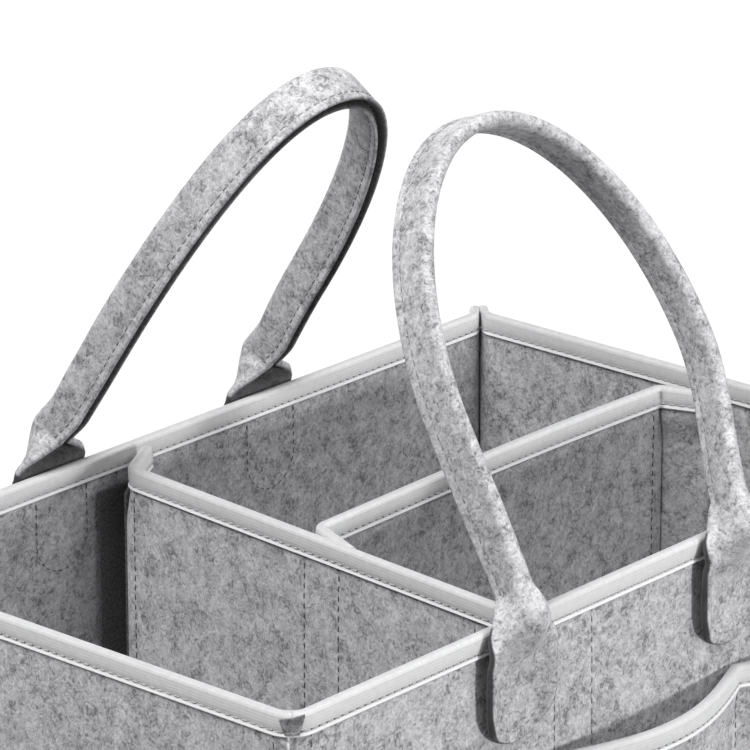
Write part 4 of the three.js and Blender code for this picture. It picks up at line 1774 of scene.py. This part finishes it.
@dataclass
class Dividers:
    """The cross divider, the long divider and the hook-and-loop strips that hold them."""

    walls: dict[Side, Wall]
    front_x: float = -62.5 * MM
    back_x: float = -46.5 * MM
    cross_radii: tuple[float, float] = (4.0 * MM, 9.0 * MM)
    cross_row: float = 5.0 * MM  # stitch row from a bend of the cross divider
    long_y: float = 6.0 * MM
    long_drop: float = 3.2 * MM  # rim to the long divider's top
    long_radii: tuple[float, float] = (5.5 * MM, 2.2 * MM)
    long_row: float = 7.0 * MM  # stitch row from a bend of the long divider
    long_bow: float = 3.2 * MM
    long_tilt: float = 2.0 * MM
    long_crease: float = 0.9
    front_high: FlapSize = FlapSize(18.0 * MM, 5.0 * MM, 5.5 * MM)  # flaps at the top, and where held
    back_high: FlapSize = FlapSize(24.0 * MM, 11.5 * MM, 6.6 * MM)
    cross_held: FlapSize = FlapSize(23.0 * MM, 13.0 * MM, 3.3 * MM)
    near_high: FlapSize = FlapSize(27.0 * MM, 8.0 * MM, 5.2 * MM)
    near_held: FlapSize = FlapSize(27.0 * MM, 0.0, 4.8 * MM)
    far_high: FlapSize = FlapSize(18.5 * MM, 6.5 * MM, 9.0 * MM)
    far_held: FlapSize = FlapSize(20.0 * MM, 10.0 * MM, 3.3 * MM)
    row_in: float = 0.6 * MM  # stitch rows from a strip's edges
    loop_aside: float = -2.0 * MM  # of the rows over the cross divider's loop strip, along it
    strip_bevel: float = 0.3 * MM
    bevel_steps: int = 2
    same_place: float = 0.001 * MM  # points of a strip's solid that are one
    same_plane: float = 0.01  # angle between its facets that are one

    def build(self, shop: Workshop) -> None:
        """Makes both dividers and every strip.

        Args:
            shop: What the pieces are made with.
        """
        height = self.walls[Side.FRONT].height
        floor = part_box("base_panel")[1].z + SEAT
        cross_high = self.cross_flaps(self.front_high, self.back_high)
        cross_held = self.cross_flaps(self.cross_held, self.cross_held)
        long_high = self.long_flaps(cross_high, self.near_high, self.far_high)
        long_held = self.long_flaps(cross_held, self.near_held, self.far_held)
        cross = Divider("cross_divider", CADDY, cross_high, cross_held, ("front", "back"), self.cross_radii,
                        height, floor, self.cross_row)
        long = Divider("long_divider", LONG_DIVIDER, long_high, long_held, ("near", "far"), self.long_radii,
                       height - self.long_drop, floor, self.long_row, bow=self.long_bow,
                       tilt=self.long_tilt, crease=self.long_crease)
        cross.build(shop, cross.strip_rows(Face.RIGHT) + self.loop_rows(cross))
        long.build(shop, long.strip_rows(Face.LEFT))
        self.build_wall_rows(shop)
        for body, names in frame["record"]["behaviour"]["bodies"].items():
            for name in names:
                if name.endswith("_strip"):
                    self.build_strip(shop, name, body)

    def cross_flaps(self, front: FlapSize, back: FlapSize) -> Flaps:
        """The cross divider's flaps at one height.

        Args:
            front: Size of the flap at the front wall.
            back: Size of the flap at the back wall.

        Returns:
            Both flaps.
        """
        inner = self.walls[Side.FRONT].stand - HALF_FELT
        right = np.array([1.0, 0.0])
        return (Flap(np.array([self.front_x, -inner]), right, np.array([0.0, 1.0]), front),
                Flap(np.array([self.back_x, inner]), right, np.array([0.0, -1.0]), back))

    def long_flaps(self, cross: Flaps, near: FlapSize, far: FlapSize) -> Flaps:
        """The long divider's flaps at one height.

        Args:
            cross: The cross divider's flaps there.
            near: Size of the flap at the cross divider.
            far: Size of the flap at the right wall.

        Returns:
            Both flaps.
        """
        along = unit(cross[1].bend - cross[0].bend)
        across = np.array([along[1], -along[0]])
        face = cross[0].bend + across * HALF_FELT
        face = face + along * (self.long_y - face[1]) / along[1]
        wall = np.array([self.walls[Side.RIGHT].stand - HALF_FELT, self.long_y])
        return (Flap(face, -along, across, near),
                Flap(wall, np.array([0.0, -1.0]), np.array([-1.0, 0.0]), far))

    def loop_rows(self, cross: Divider) -> list[Grid]:
        """Stitch rows on the cross divider's left face where the loop strip behind it is sewn on.

        Args:
            cross: The cross divider.

        Returns:
            Points of each row.
        """
        low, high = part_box("cross_divider_loop_strip")
        rows = []
        for y in (low.y + self.row_in, high.y - self.row_in):
            middle = np.array([(low.x + high.x) / 2, y + self.loop_aside])
            rows.append(cross.upright(middle, Face.LEFT, low.z, cross.top - TAPE.drop))
        return rows

    def build_wall_rows(self, shop: Workshop) -> None:
        """Makes the stitch rows that show outside where loop strips are sewn to the walls.

        Args:
            shop: What they are made with.
        """
        rows = []
        for side, axis, facing in ((Side.FRONT, 0, 1.0), (Side.BACK, 0, -1.0), (Side.RIGHT, 1, 1.0)):
            wall = self.walls[side]
            low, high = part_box(f"{side.label}_wall_loop_strip")
            for along in (low[axis] + self.row_in, high[axis] - self.row_in):
                rows.append(wall.strip_row(facing * along, low.z, wall.height - TAPE.drop))
        ride_all([shop.sew_felt("wall_strip", rows, shop.finishes.felt_thread)], CADDY)

    def build_strip(self, shop: Workshop, name: str, body: str) -> None:
        """Makes a strip with softened edges in the place of its frame node.

        Args:
            shop: What it is made with.
            name: The node's name.
            body: The body that it rides on.
        """
        shape = bmesh.new()
        shape.from_mesh(frame["nodes"][name].data)
        bmesh.ops.remove_doubles(shape, verts=shape.verts, dist=self.same_place)
        bmesh.ops.dissolve_limit(shape, angle_limit=self.same_plane, verts=shape.verts, edges=shape.edges)
        bmesh.ops.bevel(shape, geom=shape.edges[:], offset=self.strip_bevel, segments=self.bevel_steps,
                        affect="EDGES")
        mesh = bpy.data.meshes.new(f"{name}_pile")
        shape.to_mesh(mesh)
        shape.free()
        mesh.materials.append(shop.finishes.hook_pile)
        piece = add_object(f"{name}_pile", mesh)
        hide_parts(name)
        ride_all([piece], body)


# Studio


@dataclass(frozen=True)
class Lamp:
    """A square soft light that looks at the middle of the object."""

    name: str
    at: tuple[float, float, float]
    size: float
    watts: float


@dataclass
class Studio:
    """Floor, lamps, sky and camera."""

    aim: tuple[float, float, float] = (0.0, 0.0, 0.15)
    floor_radius: float = 12.0
    floor_sides: int = 48
    floor_colour: Colour = (0.3, 0.3, 0.3)
    floor_glow: float = 0.85  # how much of what the camera sees of the floor glows
    floor_white: float = 1.15
    sky: float = 0.04
    camera_at: tuple[float, float, float] = (-1.4124, -1.2288, 0.8880)
    camera_right: tuple[float, float, float] = (0.65962, -0.75160, 0.0)
    camera_back: tuple[float, float, float] = (-0.70880, -0.62210, 0.33250)
    sensor: float = 36.0
    focal_pixels: float = 5178.0
    image_pixels: float = 750.0
    lamps: tuple[Lamp, ...] = (
        Lamp("left_lamp", (-1.0, 0.05, 1.75), 1.0, 41.5),
        Lamp("right_lamp", (0.55, -1.15, 1.7), 1.2, 21.5),
        Lamp("low_lamp", (0.3, -1.8, 0.33), 0.2, 16.6),
        Lamp("back_lamp", (1.0, 1.6, 0.33), 0.5, 13.0),
    )

    def build(self) -> None:
        """Makes the whole studio."""
        self.build_floor()
        self.build_sky()
        for lamp in self.lamps:
            self.build_lamp(lamp)
        self.build_camera()
        bpy.context.scene.view_settings.view_transform = "Standard"

    def build_floor(self) -> None:
        """Makes a pale floor that the camera sees as white and that keeps a faint shadow."""
        angles = np.linspace(0.0, 2 * math.pi, self.floor_sides, endpoint=False)
        rim = np.column_stack([np.cos(angles), np.sin(angles), np.zeros_like(angles)]) * self.floor_radius
        mesh = bpy.data.meshes.new("floor")
        mesh.from_pydata(rim.tolist(), [], [tuple(range(len(rim)))])
        surface = Surface("studio_floor")
        nodes = surface.nodes
        matt = nodes.wire("ShaderNodeBsdfDiffuse", None, {"Color": (*self.floor_colour, 1.0)})
        glow = nodes.wire("ShaderNodeEmission", None, {"Color": WHITE, "Strength": self.floor_white})
        seen = self.seen(nodes) * self.floor_glow
        mixed = nodes.wire("ShaderNodeMixShader", None, {0: seen, 1: matt, 2: glow})
        nodes.add("ShaderNodeOutputMaterial", None, {"Surface": mixed})
        mesh.materials.append(surface.material)
        add_object("floor", mesh)

    @staticmethod
    def seen(nodes: Nodes) -> Wire:
        """Tells what the camera sees straight, in a gloss or through glass.

        Args:
            nodes: Where the nodes are added.

        Returns:
            1 where it is seen and 0 elsewhere.
        """
        path = nodes.add("ShaderNodeLightPath")
        camera, gloss, glass = (Wire(nodes, path.outputs[f"Is {kind} Ray"])
                                for kind in ("Camera", "Glossy", "Transmission"))
        return nodes.math("MINIMUM", camera + gloss + glass, 1.0)

    def build_sky(self) -> None:
        """Makes an even sky, white to the camera."""
        world = bpy.data.worlds.new("studio_sky")
        bpy.context.scene.world = world
        world.use_nodes = True
        world.node_tree.nodes.clear()
        nodes = Nodes(world.node_tree)
        strength = self.seen(nodes) * (1.0 - self.sky) + self.sky
        sky = nodes.wire("ShaderNodeBackground", None, {"Color": WHITE, "Strength": strength})
        nodes.add("ShaderNodeOutputWorld", None, {"Surface": sky})

    def build_lamp(self, lamp: Lamp) -> None:
        """Makes one soft light that looks at the object.

        Args:
            lamp: The lamp's place, size and power.
        """
        light = bpy.data.lights.new(lamp.name, "AREA")
        light.size = lamp.size
        light.energy = lamp.watts
        away = unit(np.array(lamp.at) - np.array(self.aim))
        aside = unit(np.cross((0.0, 0.0, 1.0), away))
        piece = add_object(lamp.name, light)
        piece.matrix_world = self.pose(aside, np.cross(away, aside), away, lamp.at)

    def build_camera(self) -> None:
        """Makes the camera where the photograph was taken from."""
        camera = bpy.data.cameras.new("camera")
        camera.sensor_width = self.sensor
        camera.lens = self.sensor * self.focal_pixels / self.image_pixels
        right, back = unit(np.array(self.camera_right)), unit(np.array(self.camera_back))
        piece = add_object("camera", camera)
        piece.matrix_world = self.pose(right, np.cross(back, right), back, self.camera_at)
        bpy.context.scene.camera = piece

    @staticmethod
    def pose(right: Grid, up: Grid, back: Grid, at: Sequence[float]) -> Matrix:
        """Turns an object's own axes to these directions and moves it to a place.

        Args:
            right: Where its first axis points.
            up: Where its second axis points.
            back: Where its third axis points.
            at: The place.

        Returns:
            The object's matrix.
        """
        matrix = np.eye(4)
        matrix[:3, :3] = np.column_stack([right, up, back])
        matrix[:3, 3] = at
        return Matrix(matrix.tolist())


# Caddy


def make_walls() -> dict[Side, Wall]:
    """Sizes the four walls from the frame's base panel and rim.

    Returns:
        The walls, with the front left corner pressed round.
    """
    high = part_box("base_panel")[1]
    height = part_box("front_rim_binding")[1].z
    half_length, half_depth = high.x + SEAT + FELT, high.y + SEAT + FELT
    walls = {}
    for side in Side:
        long = side in (Side.FRONT, Side.BACK)
        half, other = (half_length, half_depth) if long else (half_depth, half_length)
        walls[side] = Wall(side, half, other - HALF_FELT, height)
    walls[Side.FRONT].start = Corner.PRESSED
    walls[Side.LEFT].end = Corner.PRESSED
    return walls


def make_handles(walls: dict[Side, Wall]) -> tuple[Handle, Handle]:
    """Sizes the two handles, which bend and lean each in its own way.

    Args:
        walls: The walls that they are sewn to.

    Returns:
        The front handle and the back one.
    """
    front = Handle(walls[Side.FRONT], crown=175.3 * MM, belly=71.5 * MM, belly_height=72 * MM, lean=29.7,
                   shift=-9 * MM, aside=8 * MM, sway=7.5 * MM, spacing=126 * MM, fullness=0.54,
                   strip_width=32.5 * MM, neck=32.5 * MM, roll=8.0, fold_low=-26 * MM, fold_high=10 * MM,
                   fold_power=2.0, inset=1.9 * MM, inset_low=0.0, inset_high=13 * MM)
    back = Handle(walls[Side.BACK], crown=190.6 * MM, belly=58 * MM, belly_height=60 * MM, lean=33.9,
                  shift=-6.9 * MM, aside=-1.6 * MM, sway=-11.8 * MM, spacing=121.4 * MM, fullness=0.58,
                  strip_width=36 * MM, neck=34.4 * MM, roll=0.0, fold_low=-1 * MM, fold_high=13.5 * MM,
                  fold_power=1.0, inset=2.7 * MM, inset_low=10 * MM, inset_high=28.6 * MM)
    return front, back


def main() -> None:
    """Builds the studio and every sub-assembly."""
    logging.basicConfig(level=logging.INFO, format="%(name)s: %(message)s")
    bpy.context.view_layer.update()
    shop = Workshop(Finishes.make(), SewingTree())
    Studio().build()
    Base().build(shop)
    walls = make_walls()
    for wall in walls.values():
        wall.build(shop)
    RoundCorner(walls[Side.FRONT]).build(shop)
    for handle in make_handles(walls):
        handle.build(shop)
    for side in (Side.FRONT, Side.BACK):
        Pocket(walls[side]).build(shop)
    Dividers(walls).build(shop)


if __name__ == "__main__":
    main()
